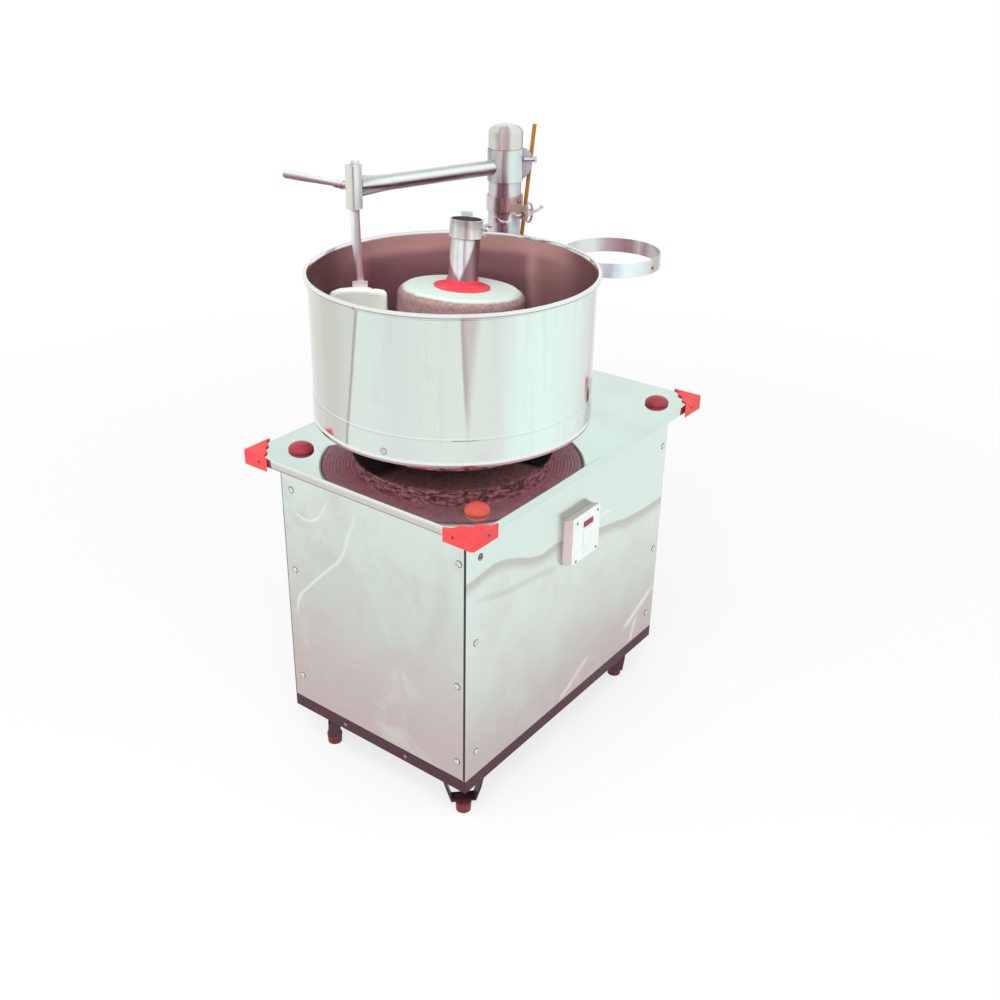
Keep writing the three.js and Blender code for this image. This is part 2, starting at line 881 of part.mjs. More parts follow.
function addDrive(parent, motorParent) {
  const plateTop = bossBottom - seatGap;
  const plateBottom = plateTop - hubPlateThickness;
  const bore = shaftRadius + seatGap;
  const hub = turned([
    [bore, plateBottom],
    [hubPlateRadius, plateBottom],
    [hubPlateRadius, plateTop],
    [hubRadius, plateTop],
    [hubRadius, plateTop + hubHeight],
    [bore, plateTop + hubHeight],
    [bore, plateBottom],
  ], hiddenSides);
  piece("hub_plate", hub.translate(drumX, drumY, 0), rawIron, parent);

  const half = pulleyHeight / 2;
  const shaftBottom = drivePlane - half - pulleyHubDrop;
  const shaftTop = plateTop + hubHeight - seatGap;
  const shaft = upright(drumX, drumY, shaftBottom, shaftRadius, shaftTop - shaftBottom);
  piece("main_shaft", shaft, satinSteel, parent);

  const neckTop = plateBottom - neckUnderHub;
  const seat = bridgeTop + seatGap;
  const housing = turned([
    [shaftRadius + turnGap, seat - housingDrop],
    [housingRadius, seat - housingDrop],
    [housingRadius, seat],
    [housingFlangeRadius, seat],
    [housingFlangeRadius, seat + housingFlange],
    [neckRadius, seat + housingFlange],
    [neckRadius, neckTop],
    [shaftRadius + turnGap, neckTop],
    [shaftRadius + turnGap, seat - housingDrop],
  ], hiddenSides);
  piece("bearing_housing", housing.translate(drumX, drumY, 0), castPaint);

  const bridgeHalf = cabinetWidth / 2 - sheetThickness - seatGap - railThickness;
  const bridge = cut(
    block(-bridgeHalf, drumY - bridgeLength / 2, ledgeTop + seatGap, bridgeHalf * 2, bridgeLength,
      bridgeThickness),
    upright(drumX, drumY, ledgeTop - overrun, housingRadius + seatGap, bridgeThickness + overrun * 2,
      hiddenSides),
  );
  piece("bearing_bridge", bridge, darkPaint);

  const groove = pulleyRadius - grooveDepth;
  const bigPulley = turned(
    [
      [bore, -half - pulleyHubDrop],
      [pulleyHub, -half - pulleyHubDrop],
      [pulleyHub, -pulleyWeb / 2],
      [groove - pulleyRim / 2, -pulleyWeb / 2],
      [groove - pulleyRim / 2, -half],
      [pulleyRadius, -half],
      [pulleyRadius, -grooveHeight / 2],
      [groove, -grooveHeight / 2],
      [groove, grooveHeight / 2],
      [pulleyRadius, grooveHeight / 2],
      [pulleyRadius, half],
      [groove - pulleyRim / 2, half],
      [groove - pulleyRim / 2, pulleyWeb / 2],
      [pulleyHub, pulleyWeb / 2],
      [pulleyHub, half],
      [bore, half],
      [bore, -half - pulleyHubDrop],
    ],
    roundSides,
  );
  const windows = [];
  const windowRing = (pulleyHub + groove - pulleyRim / 2) / 2;
  for (let i = 0; i < pulleyWindows; i += 1) {
    const angle = (i / pulleyWindows) * Math.PI * 2;
    windows.push(
      upright(windowRing * Math.cos(angle), windowRing * Math.sin(angle), -half, pulleyWindow,
        pulleyHeight, windowSides),
    );
  }
  const drumPulley = cut(bigPulley, ...windows).translate(drumX, drumY, drivePlane);
  piece("drum_pulley", drumPulley, rawIron, parent);

  const smallGroove = motorPulleyRadius - grooveDepth;
  const smallPulley = turned([
    [motorPulleyBore + seatGap, -half],
    [motorPulleyRadius, -half],
    [motorPulleyRadius, -grooveHeight / 2],
    [smallGroove, -grooveHeight / 2],
    [smallGroove, grooveHeight / 2],
    [motorPulleyRadius, grooveHeight / 2],
    [motorPulleyRadius, half],
    [motorPulleyBore + seatGap, half],
    [motorPulleyBore + seatGap, -half],
  ], hiddenSides);
  piece("motor_pulley", smallPulley.translate(motorX, motorY, drivePlane), rawIron, motorParent);
  addBelt(groove, smallGroove);
  addMotor(motorParent);
}

// An open belt round two pulleys, as the outline of two arcs and their tangents
function beltOutline(bigRadius, smallRadius, distance, Kind) {
  const lean = Math.asin((bigRadius - smallRadius) / distance);
  const outline = new Kind();
  outline.absarc(0, 0, bigRadius, Math.PI - lean, Math.PI * 2 + lean);
  outline.absarc(0, distance, smallRadius, lean, Math.PI - lean);
  outline.closePath();
  return outline;
}

function addBelt(groove, smallGroove) {
  const distance = motorY - drumY;
  const bigInner = groove + turnGap;
  const smallInner = smallGroove + turnGap;
  const loop = beltOutline(bigInner + beltThickness, smallInner + beltThickness, distance, THREE.Shape);
  loop.holes.push(beltOutline(bigInner, smallInner, distance, THREE.Path));
  const belt = extruded(loop, beltHeight, 14);
  belt.translate(drumX, drumY, drivePlane - beltHeight / 2);
  piece("drive_belt", belt, blackRubber);
}

function addMotor(motorParent) {
  const plateBottom = flangeTop + seatGap;
  const plateTop = plateBottom + motorPlateThickness;
  const plateHalf = cabinetWidth / 2 - railThickness * 2 - uprightThickness;
  const plate = block(-plateHalf, motorY - motorPlateLength / 2, plateBottom, plateHalf * 2,
    motorPlateLength, motorPlateThickness);
  piece("motor_plate", plate, darkPaint);

  const bottom = plateTop + seatGap;
  const shield = motorRadius - motorRib;
  const top = bottom + motorHeight;
  const bore = motorPulleyBore + turnGap;
  const casing = turned([
    [0, bottom],
    [motorRadius, bottom],
    [motorRadius, bottom + motorShield],
    [shield, bottom + motorShield],
    [shield, top - motorShield],
    [motorRadius, top - motorShield],
    [motorRadius - motorRib, top],
    [motorBossRadius, top],
    [motorBossRadius, top + motorRib],
    [bore, top + motorRib],
    [bore, top - motorShaftInside],
    [0, top - motorShaftInside],
  ], hiddenSides);
  const ribs = [];
  for (let i = 0; i < motorRibs; i += 1) {
    const rib = block(shield - motorRib, -motorRibWidth / 2, bottom + motorShield / 2, motorRib * 2 - seatGap,
      motorRibWidth, motorHeight - motorShield);
    ribs.push(rib.rotateZ((i / motorRibs) * Math.PI * 2));
  }
  const motor = join(casing, ...ribs).translate(motorX, motorY, 0);
  piece("motor_body", motor, castPaint);

  const shaftBottom = top - motorShaftInside + seatGap;
  const shaftTop = drivePlane + pulleyHeight / 2 + motorRib;
  const shaft = upright(motorX, motorY, shaftBottom, motorPulleyBore, shaftTop - shaftBottom, smallSides);
  piece("motor_shaft", shaft, satinSteel, motorParent);
}

// Everything that turns with the roller stone, drawn upright with its top at height zero
function addRoller() {
  const roller = new THREE.Group();
  const foot = bedTop + seatGap;
  const axis = new THREE.Vector3(0, Math.sin(rollerLean), Math.cos(rollerLean));
  roller.position.set(rollerX, rollerY, foot).addScaledVector(axis, rollerHeight);
  roller.rotation.x = -rollerLean;
  grinder.add(roller);

  const coneRise = (radius) => radius * Math.tan(rollerLean) - rollerHeight;
  const stone = turned(
    [
      [0, -rollerHeight],
      [rollerFootRadius, coneRise(rollerFootRadius)],
      [rollerRadius - rollerTaper, coneRise(rollerFootRadius) + rollerFootRound / 2],
      [rollerRadius, coneRise(rollerFootRadius) + rollerFootRound * 2],
      [rollerRadius - rollerTaper, -rollerShoulder],
      [rollerRadius - rollerTaper * 2, -rollerShoulder * 0.6],
      [(rollerRadius * 2 + rollerTopRadius) / 3, -rollerShoulder * 0.25],
      [(rollerRadius + rollerTopRadius * 2) / 3, -rollerShoulder * 0.08],
      [rollerTopRadius, 0],
      [spigotRadius + seatGap, 0],
      [spigotRadius + seatGap, -spigotDepth - seatGap],
      [0, -spigotDepth - seatGap],
    ],
    46,
  );
  piece("roller_stone", stone, granite, roller);

  const sleeveIn = sleeveRadius + seatGap;
  const flangeBase = seatGap;
  const flangeTopZ = flangeBase + rollerFlangeHeight;
  const collarOut = sleeveIn + flangeCollarWall;
  const flangeBody = turned([
    [0, flangeBase - spigotDepth],
    [spigotRadius, flangeBase - spigotDepth],
    [spigotRadius, flangeBase],
    [rollerFlangeRadius, flangeBase],
    [rollerFlangeRadius, flangeBase + rollerFlangeEdge],
    [collarOut + flangeCollarWall, flangeTopZ],
    [collarOut, flangeTopZ + flangeCollarWall],
    [collarOut, flangeTopZ + flangeCollarHeight],
    [sleeveIn, flangeTopZ + flangeCollarHeight],
    [sleeveIn, flangeTopZ],
    [0, flangeTopZ],
  ]);
  const tab = block(sleeveIn + (flangeCollarWall - flangeTabThickness) / 2, -flangeTabWidth / 2,
    flangeTopZ + flangeCollarHeight - seatGap, flangeTabThickness, flangeTabWidth, flangeTab);
  tab.rotateZ(sideTurn / 2);
  piece("roller_flange", join(flangeBody, tab), redPlastic, roller);

  const sleeveBottom = flangeTopZ + seatGap;
  const sleeve = tube(sleeveRadius - sleeveWall, sleeveRadius, sleeveBottom, sleeveHeight);
  piece("roller_sleeve", sleeve, steel, roller);

  const mouthBottom = sleeveBottom + sleeveHeight - mouthOverlap;
  const mouthTop = mouthBottom + mouthHeight;
  const mouthOut = sleeveIn + mouthWall;
  const mouth = turned([
    [sleeveIn, mouthBottom],
    [mouthOut + mouthLip, mouthBottom],
    [mouthOut, mouthBottom + mouthWall],
    [mouthOut, mouthTop - mouthWall],
    [mouthOut + mouthLip, mouthTop],
    [sleeveIn, mouthTop],
    [sleeveIn, mouthBottom],
  ]);
  const lug = block(-lugWidth / 2, (sleeveIn + mouthOut) / 2 - lugThickness / 2, mouthTop - lugThickness,
    lugWidth, lugThickness, lugHeight + lugThickness);
  lug.rotateZ(sideTurn);
  const lugTrim = upright(0, 0, mouthTop - lugThickness - overrun, sleeveIn, lugThickness + overrun);
  piece("sleeve_mouth", cut(join(mouth, lug), lugTrim), steel, roller);
  addYoke(roller, mouthBottom, mouthOut + mouthLip);
}

// A point on the yoke bar's line: a distance from the eye lug and a height above the bar
function onYoke(along, rise) {
  return new THREE.Vector3(
    yokeX + along * Math.sin(yokeHeading),
    eyeLugY + along * Math.cos(yokeHeading),
    yokeZ + rise,
  );
}

// The saddle of the yoke lies round the sleeve mouth, in the roller's leaning frame
function addYoke(roller, mouthBottom, mouthOut) {
  const inner = mouthOut + saddleClearance;
  const outer = inner + saddleWidth;
  const outline = new THREE.Shape();
  outline.absarc(0, 0, outer, saddleStart, saddleEnd);
  outline.absarc(0, 0, inner, saddleEnd, saddleStart, true);
  outline.closePath();
  roller.updateMatrixWorld(true);
  const plates = [];
  for (const level of [0, saddlePlate + saddleSpace]) {
    plates.push(extruded(outline, saddlePlate, 8).translate(0, 0, mouthBottom + level));
  }
  const stack = saddlePlate * 2 + saddleSpace;
  const web = block(-saddleBlock / 2, outer - saddleWidth, mouthBottom, saddleBlock, saddleWidth * 2,
    stack);
  const trim = upright(0, 0, mouthBottom - overrun, inner, stack + overrun * 2);
  const head = cut(join(...plates, web), trim).applyMatrix4(roller.matrixWorld);

  const headCentre = new THREE.Vector3(0, outer + saddleWidth / 2, mouthBottom + stack / 2);
  const route = [headCentre.applyMatrix4(roller.matrixWorld), onYoke(-yokeFirst, -yokeFirstDrop)];
  for (const place of kickPlaces) {
    route.push(onYoke(-place - kickHalf, -kickSag), onYoke(-place, kickRise));
    route.push(onYoke(-place + kickHalf, 0));
  }
  const beyondNut = eyeLugThickness + wingHalfLength * 2 + yokeTravel / 2;
  route.push(onYoke(-yokeStraight, 0), onYoke(0, 0), onYoke(beyondNut, 0));
  route.push(onYoke(beyondNut + nutRadius, 0), onYoke(beyondNut + nutRadius + yokeTail, yokeTailRise));
  piece("yoke_bar", join(head, bentBar(route, yokeRadius, 44)), steel);
}

function addPost() {
  const post = new THREE.Group();
  post.position.set(postX, postY, 0);
  grinder.add(post);
  const inner = postRadius - postWall;
  const body = turned([
    [inner, postFootZ],
    [postFootRadius, postFootZ],
    [postFootRadius, postFootZ + postFoot],
    [postRadius, postFootZ + postFoot],
    [postRadius, postTop],
    [inner, postTop],
    [inner, postFootZ],
  ]);
  const rodHole = rodAt(rodRadius + rodPlay, rodLength, rodBottom);
  const socketRadius = rodRadius + rodPlay + socketWall;
  const socket = upright(0, 0, rodBottom - (socketHeight - socketDepth), socketRadius, socketHeight,
    smallSides);
  socket.translate(...rodFoot().toArray().slice(0, 2), 0);
  const clearTube = upright(0, 0, rodBottom - socketHeight - overrun, inner, socketHeight * 2 + overrun * 2);
  piece("post_tube", cut(join(body, cut(socket, clearTube)), rodHole), steel, post);

  const capOut = postRadius + seatGap + capWall;
  const capIn = postRadius + seatGap;
  const roof = postTop + seatGap;
  const peak = postTop + capDome;
  const points = [
    [0, roof],
    [capIn, roof],
    [capIn, capBottom],
    [capOut, capBottom],
    [capOut, peak - capRound],
  ];
  const steps = 5;
  for (let i = 1; i < steps; i += 1) {
    const angle = (i / steps) * (Math.PI / 2);
    const flat = capOut - capRound;
    points.push([
      flat * (1 - i / steps) ** 0.35 + capRound * Math.cos(angle),
      peak - capRound + capRound * Math.sin(angle),
    ]);
  }
  points.push([0, peak]);
  piece("post_cap", turned(points), steel, post);

  const rod = rodAt(rodRadius, rodLength, rodBottom + seatGap);
  piece("side_rod", rod, brownLacquer, post);
}

// The rod's foot beside the post, from sideways and backward distances in the turned frame
function rodFoot() {
  const place = new THREE.Vector3(rodSide, rodBack, 0);
  return place.applyAxisAngle(new THREE.Vector3(0, 0, 1), sideTurn);
}

function rodAt(radius, length, bottom) {
  const rod = new THREE.CylinderGeometry(radius, radius, length, 12);
  rod.rotateX(Math.PI / 2).translate(0, 0, length / 2).rotateY(rodLean);
  return rod.rotateZ(sideTurn).translate(...rodFoot().setZ(bottom).toArray());
}

function addScraperArm() {
  const arm = new THREE.Group();
  arm.position.set(postX, postY, 0);
  grinder.add(arm);
  const inner = postRadius + sleeveClearance;
  const sleeve = tube(inner, armSleeveOuter, armSleeveBottom, armSleeveHeight);
  const reach = armSleeveOuter + ribReach;
  const ribShape = new THREE.Shape();
  ribShape.moveTo(armSleeveOuter - armSleeveWall, armSleeveBottom);
  ribShape.quadraticCurveTo(reach, armSleeveBottom + armSleeveHeight * 0.2, reach,
    armSleeveBottom + armSleeveHeight * 0.55);
  ribShape.quadraticCurveTo(reach, armSleeveTop - ribThickness / 2, armSleeveOuter - armSleeveWall,
    armSleeveTop);
  ribShape.closePath();
  const rib = extruded(ribShape, ribThickness).rotateX(Math.PI / 2);
  rib.translate(0, ribOffset + ribThickness / 2, 0).rotateZ(sideTurn);
  const bore = upright(0, 0, armSleeveBottom - overrun, inner, armSleeveHeight + overrun * 2);
  piece("arm_sleeve", cut(join(sleeve, rib), bore), steel, arm);

  const side = new THREE.Vector3(Math.cos(sideTurn), Math.sin(sideTurn), 0);
  const away = new THREE.Vector3(-Math.sin(sideTurn), Math.cos(sideTurn), 0);
  const boltStart = away.clone().multiplyScalar(boltOffset);
  boltStart.addScaledVector(side, armSleeveOuter + seatGap).setZ(armSleeveTop - boltDrop);
  const headStart = boltStart.clone().addScaledVector(side, boltLength);
  const bolt = join(
    barAlong(boltStart, side, boltRadius, boltLength + boltHead / 2),
    barAlong(headStart, side, boltRadius + boltHeadExtra, boltHead, 6),
  );
  piece("arm_lock_bolt", bolt, satinSteel, arm);
  addArmTube(arm);
}

function addArmTube(arm) {
  const toHolder = new THREE.Vector3(holderX - postX, holderY - postY, 0);
  const length = toHolder.length();
  const heading = Math.atan2(toHolder.y, toHolder.x);
  const flatStart = length * armFlatShare;
  const flatRun = length - flatStart;
  const rings = [[0, armRadius, armRadius], [flatStart, armRadius, armRadius]];
  const steps = 4;
  for (let i = 1; i <= steps; i += 1) {
    const share = THREE.MathUtils.smoothstep(i / steps, 0, 1);
    rings.push([
      flatStart + (flatRun * i) / steps,
      THREE.MathUtils.lerp(armRadius, armTipHalfWidth, share),
      THREE.MathUtils.lerp(armRadius, armTipHalfHeight, share),
    ]);
  }
  const armTube = lofted(rings, 24).rotateZ(heading).translate(0, 0, armZ);
  const holderCut = holderSide + seatGap * 2;
  const trimmed = cut(
    armTube,
    upright(0, 0, armSleeveBottom - overrun, armSleeveOuter + seatGap, armSleeveHeight + overrun * 2),
    block(toHolder.x - holderCut / 2, toHolder.y - holderCut / 2, armZ - holderDown - overrun,
      holderCut, holderCut, holderUp + holderDown + overrun * 2),
    block(toHolder.x - holderCut, toHolder.y - holderCut, armZ - holderDown - overrun, holderCut,
      holderCut, holderUp + holderDown + overrun * 2),
  );
  piece("arm_tube", trimmed, steel, arm);

  const holder = new THREE.Group();
  holder.position.copy(toHolder).setZ(armZ);
  arm.add(holder);
  const wallShape = roundedOutline(holderSide, holderSide, holderCorner);
  const innerSide = holderSide - holderWall * 2;
  const boreShape = roundedOutline(innerSide, innerSide, holderCorner - holderWall);
  wallShape.holes.push(boreShape);
  const height = holderUp + holderDown;
  const socket = extruded(wallShape, height, 3).translate(0, 0, -holderDown);
  const slope = block(-holderSide, -holderSide * 2, 0, holderSide * 2, holderSide * 2, holderEar * 4);
  slope.rotateX(-Math.atan2(holderEar, holderSide)).translate(0, holderSide / 2, holderUp);
  const minusX = new THREE.Vector3(-1, 0, 0);
  const screwHole = barAlong(new THREE.Vector3(0, 0, 0), minusX, screwRadius + seatGap, holderSide);
  piece("stem_holder", cut(socket, slope, screwHole), steel, holder);

  const wallOut = holderSide / 2 + seatGap;
  const tip = new THREE.Vector3(-stemRadius - seatGap, 0, 0);
  const shank = wallOut + screwBossLength + screwNutLength + screwNeck;
  const nutStart = wallOut + screwBossLength + seatGap;
  const handleStart = nutStart + screwNutLength;
  const screw = join(
    barAlong(tip, minusX, screwRadius, shank),
    barAlong(minusX.clone().multiplyScalar(wallOut), minusX, screwBoss, screwBossLength + seatGap),
    barAlong(minusX.clone().multiplyScalar(nutStart), minusX, screwNut, screwNutLength + seatGap, 6),
    barAlong(minusX.clone().multiplyScalar(handleStart), minusX, handleRadius, handleLength),
  );
  piece("stem_clamp_screw", screw, steel, holder);
  addScraper(holder);
}

function addScraper(holder) {
  const scraper = new THREE.Group();
  scraper.rotation.z = sideTurn;
  holder.add(scraper);
  const top = holderUp - holderEar - stemBelowTop;
  const bottom = top - stemLength;
  const rings = [];
  const steps = 6;
  for (let i = 0; i <= steps; i += 1) {
    const share = i / steps;
    const radius = THREE.MathUtils.lerp(stemTipRadius, stemRadius, share * (2 - share));
    rings.push([bottom + stemTaper * share, radius, radius, stemLean * (1 - share) ** 2]);
  }
  rings.push([top, stemRadius, stemRadius, 0]);
  const stem = lofted(rings, 20).rotateY(-Math.PI / 2).rotateZ(-Math.PI / 2);
  const plateBack = -stemRadius;
  const tongue = block(stemLean - tongueWidth / 2, plateBack, bottom - tongueLength, tongueWidth,
    tongueThickness, tongueLength + stemRadius);
  const gusset = extruded(
    new THREE.Shape([
      new THREE.Vector2(-gussetWidth, 0),
      new THREE.Vector2(gussetWidth / 2, 0),
      new THREE.Vector2(gussetWidth / 2, gussetHeight / 2),
      new THREE.Vector2(-gussetWidth, gussetHeight),
    ]),
    tongueThickness,
  ).rotateX(Math.PI / 2).translate(stemLean, plateBack + tongueThickness, bottom - stemTipRadius / 2);
  piece("scraper_stem", join(stem, tongue, gusset), steel, scraper);

  const low = bedTop + paddleAboveBed - armZ;
  const half = paddleWidth / 2;
  const outline = new THREE.Shape();
  outline.moveTo(-half + paddleToe, low);
  outline.lineTo(half - paddleToe / 2, low);
  outline.quadraticCurveTo(half, low, half, low + paddleToe / 2);
  outline.lineTo(half, low + paddleHeight - paddleShoulder);
  outline.quadraticCurveTo(half, low + paddleHeight, half - paddleShoulder, low + paddleHeight);
  outline.lineTo(-half + paddleShoulder, low + paddleHeight);
  outline.quadraticCurveTo(-half, low + paddleHeight, -half, low + paddleHeight - paddleShoulder);
  outline.lineTo(-half, low + paddleToe);
  outline.quadraticCurveTo(-half, low, -half + paddleToe, low);
  const plate = extruded(outline, paddleThickness).rotateX(Math.PI / 2);
  plate.translate(paddleShift, plateBack - seatGap, 0);
  piece("scraper_paddle", plate, creamPlastic, scraper);
}

function addCollarAndNut() {
  const collarOut = postRadius + seatGap + collarWall;
  const collar = tube(postRadius + seatGap, collarOut, collarBottom, collarHeight);
  collar.translate(postX, postY, 0);
  const lug = block(postX, eyeLugY, yokeZ - eyeLugDrop, yokeX + eyeLugReach - postX, eyeLugThickness,
    eyeLugDrop + eyeLugUp);
  const heading = onYoke(1, 0).sub(onYoke(0, 0));
  const eye = barAlong(onYoke(-overrun, 0), heading, yokeRadius + eyePlay, eyeLugThickness + overrun * 2);
  const postCut = upright(postX, postY, yokeZ - eyeLugDrop - overrun, postRadius + seatGap,
    eyeLugDrop + eyeLugUp + collarHeight);
  piece("lower_collar", cut(join(collar, lug), postCut, eye), steel);

  const yAxis = new THREE.Vector3(0, 1, 0);
  const boss = barAlong(new THREE.Vector3(0, 0, 0), yAxis, nutRadius, nutLength);
  const wing = new THREE.Shape().absellipse(0, 0, wingHalfHeight, wingHalfLength, 0, Math.PI * 2);
  const hole = new THREE.Path();
  hole.absellipse(0, 0, wingHalfHeight - wingRim, wingHalfLength - wingRim, 0, Math.PI * 2);
  wing.holes.push(hole);
  const loops = extruded(wing, wingThickness, 14).translate(0, wingHalfLength, -wingThickness / 2);
  loops.rotateY(Math.PI / 2);
  const bore = barAlong(new THREE.Vector3(0, -overrun, 0), yAxis, yokeRadius + nutPlay,
    wingHalfLength * 2 + overrun * 2);
  const nut = cut(join(boss, loops), bore);
  const mesh = piece("wing_nut", nut, steel);
  const slack = nutRadius * Math.sin(yokeHeading) + seatGap;
  mesh.position.copy(onYoke(eyeLugThickness / Math.cos(yokeHeading) + slack, 0));
  mesh.rotation.z = -yokeHeading;
}

function addRing() {
  const hoop = tube(ringRadius - ringWall, ringRadius, ringBottom, ringHeight, 44);
  piece("rest_ring", hoop.translate(ringX, ringY, 0), steel);
  const toRing = new THREE.Vector3(ringX - postX, ringY - postY, 0);
  const inner = postRadius + sleeveClearance;
  const outer = inner + collarWall;
  const collar = tube(inner, outer, ringBottom - bracketCollarDrop, bracketCollarHeight);
  const barLength = toRing.length() - ringRadius;
  const bar = block(inner + collarWall / 2, -bracketBarThickness / 2, ringBottom, barLength - inner,
    bracketBarThickness, bracketBarHeight);
  const pad = block(barLength - bracketBarThickness, -bracketPad / 2, ringBottom, bracketPad, bracketPad,
    bracketPadHeight);
  const bracket = join(collar, bar, pad).rotateZ(Math.atan2(toRing.y, toRing.x));
  bracket.translate(postX, postY, 0);
  const ringCut = upright(ringX, ringY, ringBottom - overrun, ringRadius + seatGap,
    ringHeight + overrun * 2, 44);
  piece("ring_bracket", cut(bracket, ringCut), steel);
}

const eighth = Math.PI / 4;
addFoot("corner", inFrom(cabinetWidth, cabinetDepth, 1, -1, cornerInset), eighth, 0, strapInset);
addFoot("near", inFrom(cabinetWidth, cabinetDepth, -1, -1, nearInset), -eighth, -strapInset, 0);
addFoot("far", inFrom(cabinetWidth, cabinetDepth, 1, 1, farInset), -eighth, 0, 0);
addFoot("hidden", inFrom(cabinetWidth, cabinetDepth, -1, 1, farInset), eighth, 0, 0);
addBaseFrame();
addInnerFrame();
addSheets();
addTray();
corners.forEach(([label, sx, sy], i) => {
  addGuard(label, sx, sy);
  addPlug(label, plugPlaces[i]);
});
addSwitch();
addGland();
const drumGroup = new THREE.Group();
const motorGroup = new THREE.Group();
grinder.add(drumGroup, motorGroup);
addDrum(drumGroup);
addDrive(drumGroup, motorGroup);
addRoller();
addPost();
addScraperArm();
addCollarAndNut();
addRing();

export default grinder;
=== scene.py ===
import math

import bmesh
import bpy
from mathutils import Matrix, Vector


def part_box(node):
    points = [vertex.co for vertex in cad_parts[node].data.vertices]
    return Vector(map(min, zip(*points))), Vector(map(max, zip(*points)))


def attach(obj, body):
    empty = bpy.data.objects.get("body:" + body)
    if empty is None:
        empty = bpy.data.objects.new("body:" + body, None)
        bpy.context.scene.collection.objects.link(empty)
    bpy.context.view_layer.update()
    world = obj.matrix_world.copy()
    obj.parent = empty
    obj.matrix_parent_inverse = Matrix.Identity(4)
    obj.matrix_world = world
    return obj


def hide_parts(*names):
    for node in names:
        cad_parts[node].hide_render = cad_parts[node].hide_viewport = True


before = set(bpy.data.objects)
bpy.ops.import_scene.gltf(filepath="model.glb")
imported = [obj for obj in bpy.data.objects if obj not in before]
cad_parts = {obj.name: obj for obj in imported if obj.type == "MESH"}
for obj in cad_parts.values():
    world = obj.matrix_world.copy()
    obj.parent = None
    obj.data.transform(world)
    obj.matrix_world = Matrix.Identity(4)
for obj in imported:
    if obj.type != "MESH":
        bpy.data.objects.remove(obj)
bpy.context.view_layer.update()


# The camera stands off the cabinet's corner and looks down on the open drum. Its place, turn and
# lens were worked out from the corners and circles that show in the photograph.
def placed(name, data):
    """A new object of this name, put in the scene."""
    made = bpy.data.objects.new(name, data)
    bpy.context.scene.collection.objects.link(made)
    return made


camera_place = Vector((1.19562, -1.59008, 1.48809))
camera_turn = math.radians(38.36)
camera_fall = math.radians(26.96)
camera_roll = math.radians(0.12)
behind = Vector((
    math.sin(camera_turn) * math.cos(camera_fall),
    -math.cos(camera_turn) * math.cos(camera_fall),
    math.sin(camera_fall),
))
level = Vector((math.cos(camera_turn), math.sin(camera_turn), 0))
upward = behind.cross(level)
right = level * math.cos(camera_roll) + upward * math.sin(camera_roll)
upright = upward * math.cos(camera_roll) - level * math.sin(camera_roll)
camera = placed("camera", bpy.data.cameras.new("camera"))
camera.data.sensor_width = 36
camera.data.lens = 42.30
camera.data.shift_x = 0.0427
camera.data.shift_y = -0.01025
camera_aim = Matrix((right, upright, behind)).transposed().to_4x4()
camera.matrix_world = Matrix.Translation(camera_place) @ camera_aim
bpy.context.scene.camera = camera
bpy.context.scene.view_settings.view_transform = "Standard"


# The studio is a white floor under a white sky with three wide soft lamps. The floor keeps the
# machine's shadow, and bright metal mirrors the same even white all round, not the lamps.
def paint(code):
    """A colour as it looks on a swatch, turned into the values that a shader takes."""
    parts = [int(code[i:i + 2], 16) / 255 for i in (1, 3, 5)]
    return tuple(p / 12.92 if p <= 0.04045 else ((p + 0.055) / 1.055) ** 2.4 for p in parts) + (1.0,)


class Wire:
    """One socket of a node tree, which can be added, multiplied and compared like a number."""

    def __init__(self, tree, socket=None):
        self.tree = tree
        self.socket = socket

    def node(self, kind, settings=(), inputs=(), output=0):
        made = self.tree.nodes.new(kind)
        for key, value in dict(settings).items():
            if key == "smooth":
                made.color_ramp.interpolation = value
            elif key == "stops":
                stops = made.color_ramp.elements
                stops[0].position, stops[0].color = value[0]
                stops[1].position, stops[1].color = value[-1]
                for place, colour in value[1:-1]:
                    stops.new(place).color = colour
            else:
                setattr(made, key, value)
        for key, value in dict(inputs).items():
            self.plug(made.inputs[key], value)
        return Wire(self.tree, made.outputs[output])

    def plug(self, socket, value):
        """Feeds a socket from a wire, or sets it to a number, a spot or a swatch."""
        if isinstance(value, Wire):
            self.tree.links.new(value.socket, socket)
        else:
            swatch = socket.type == "RGBA" and isinstance(value, str)
            socket.default_value = paint(value) if swatch else value

    def maths(self, operation, first, second=0.0):
        return self.node("ShaderNodeMath", {"operation": operation}, {0: first, 1: second})

    def __add__(self, other):
        return self.maths("ADD", self, other)

    def __radd__(self, other):
        return self.maths("ADD", other, self)

    def __sub__(self, other):
        return self.maths("SUBTRACT", self, other)

    def __rsub__(self, other):
        return self.maths("SUBTRACT", other, self)

    def __mul__(self, other):
        return self.maths("MULTIPLY", self, other)

    def __rmul__(self, other):
        return self.maths("MULTIPLY", other, self)

    def __gt__(self, other):
        return self.maths("GREATER_THAN", self, other)

    def __lt__(self, other):
        return self.maths("LESS_THAN", self, other)

    def __abs__(self):
        return self.maths("ABSOLUTE", self)

    def between(self, low, high):
        """A soft mask that rises from 0 at low to 1 at high."""
        rise = {"interpolation_type": "SMOOTHSTEP"}
        return self.node("ShaderNodeMapRange", rise, {0: self, 1: low, 2: high})

    def fading(self, low, high):
        """A soft mask that falls from 1 at low to 0 at high."""
        return 1 - self.between(low, high)

    def blend(self, first, second):
        """The first colour where this mask is 0 and the second where it is 1."""
        return self.node("ShaderNodeMix", {"data_type": "RGBA"}, {0: self, 6: first, 7: second}, 2)

    def under(self, *layers):
        """This colour with others laid over it in turn, each where its mask is 1."""
        colour = self
        for mask, code in layers:
            colour = mask.blend(colour, code)
        return colour


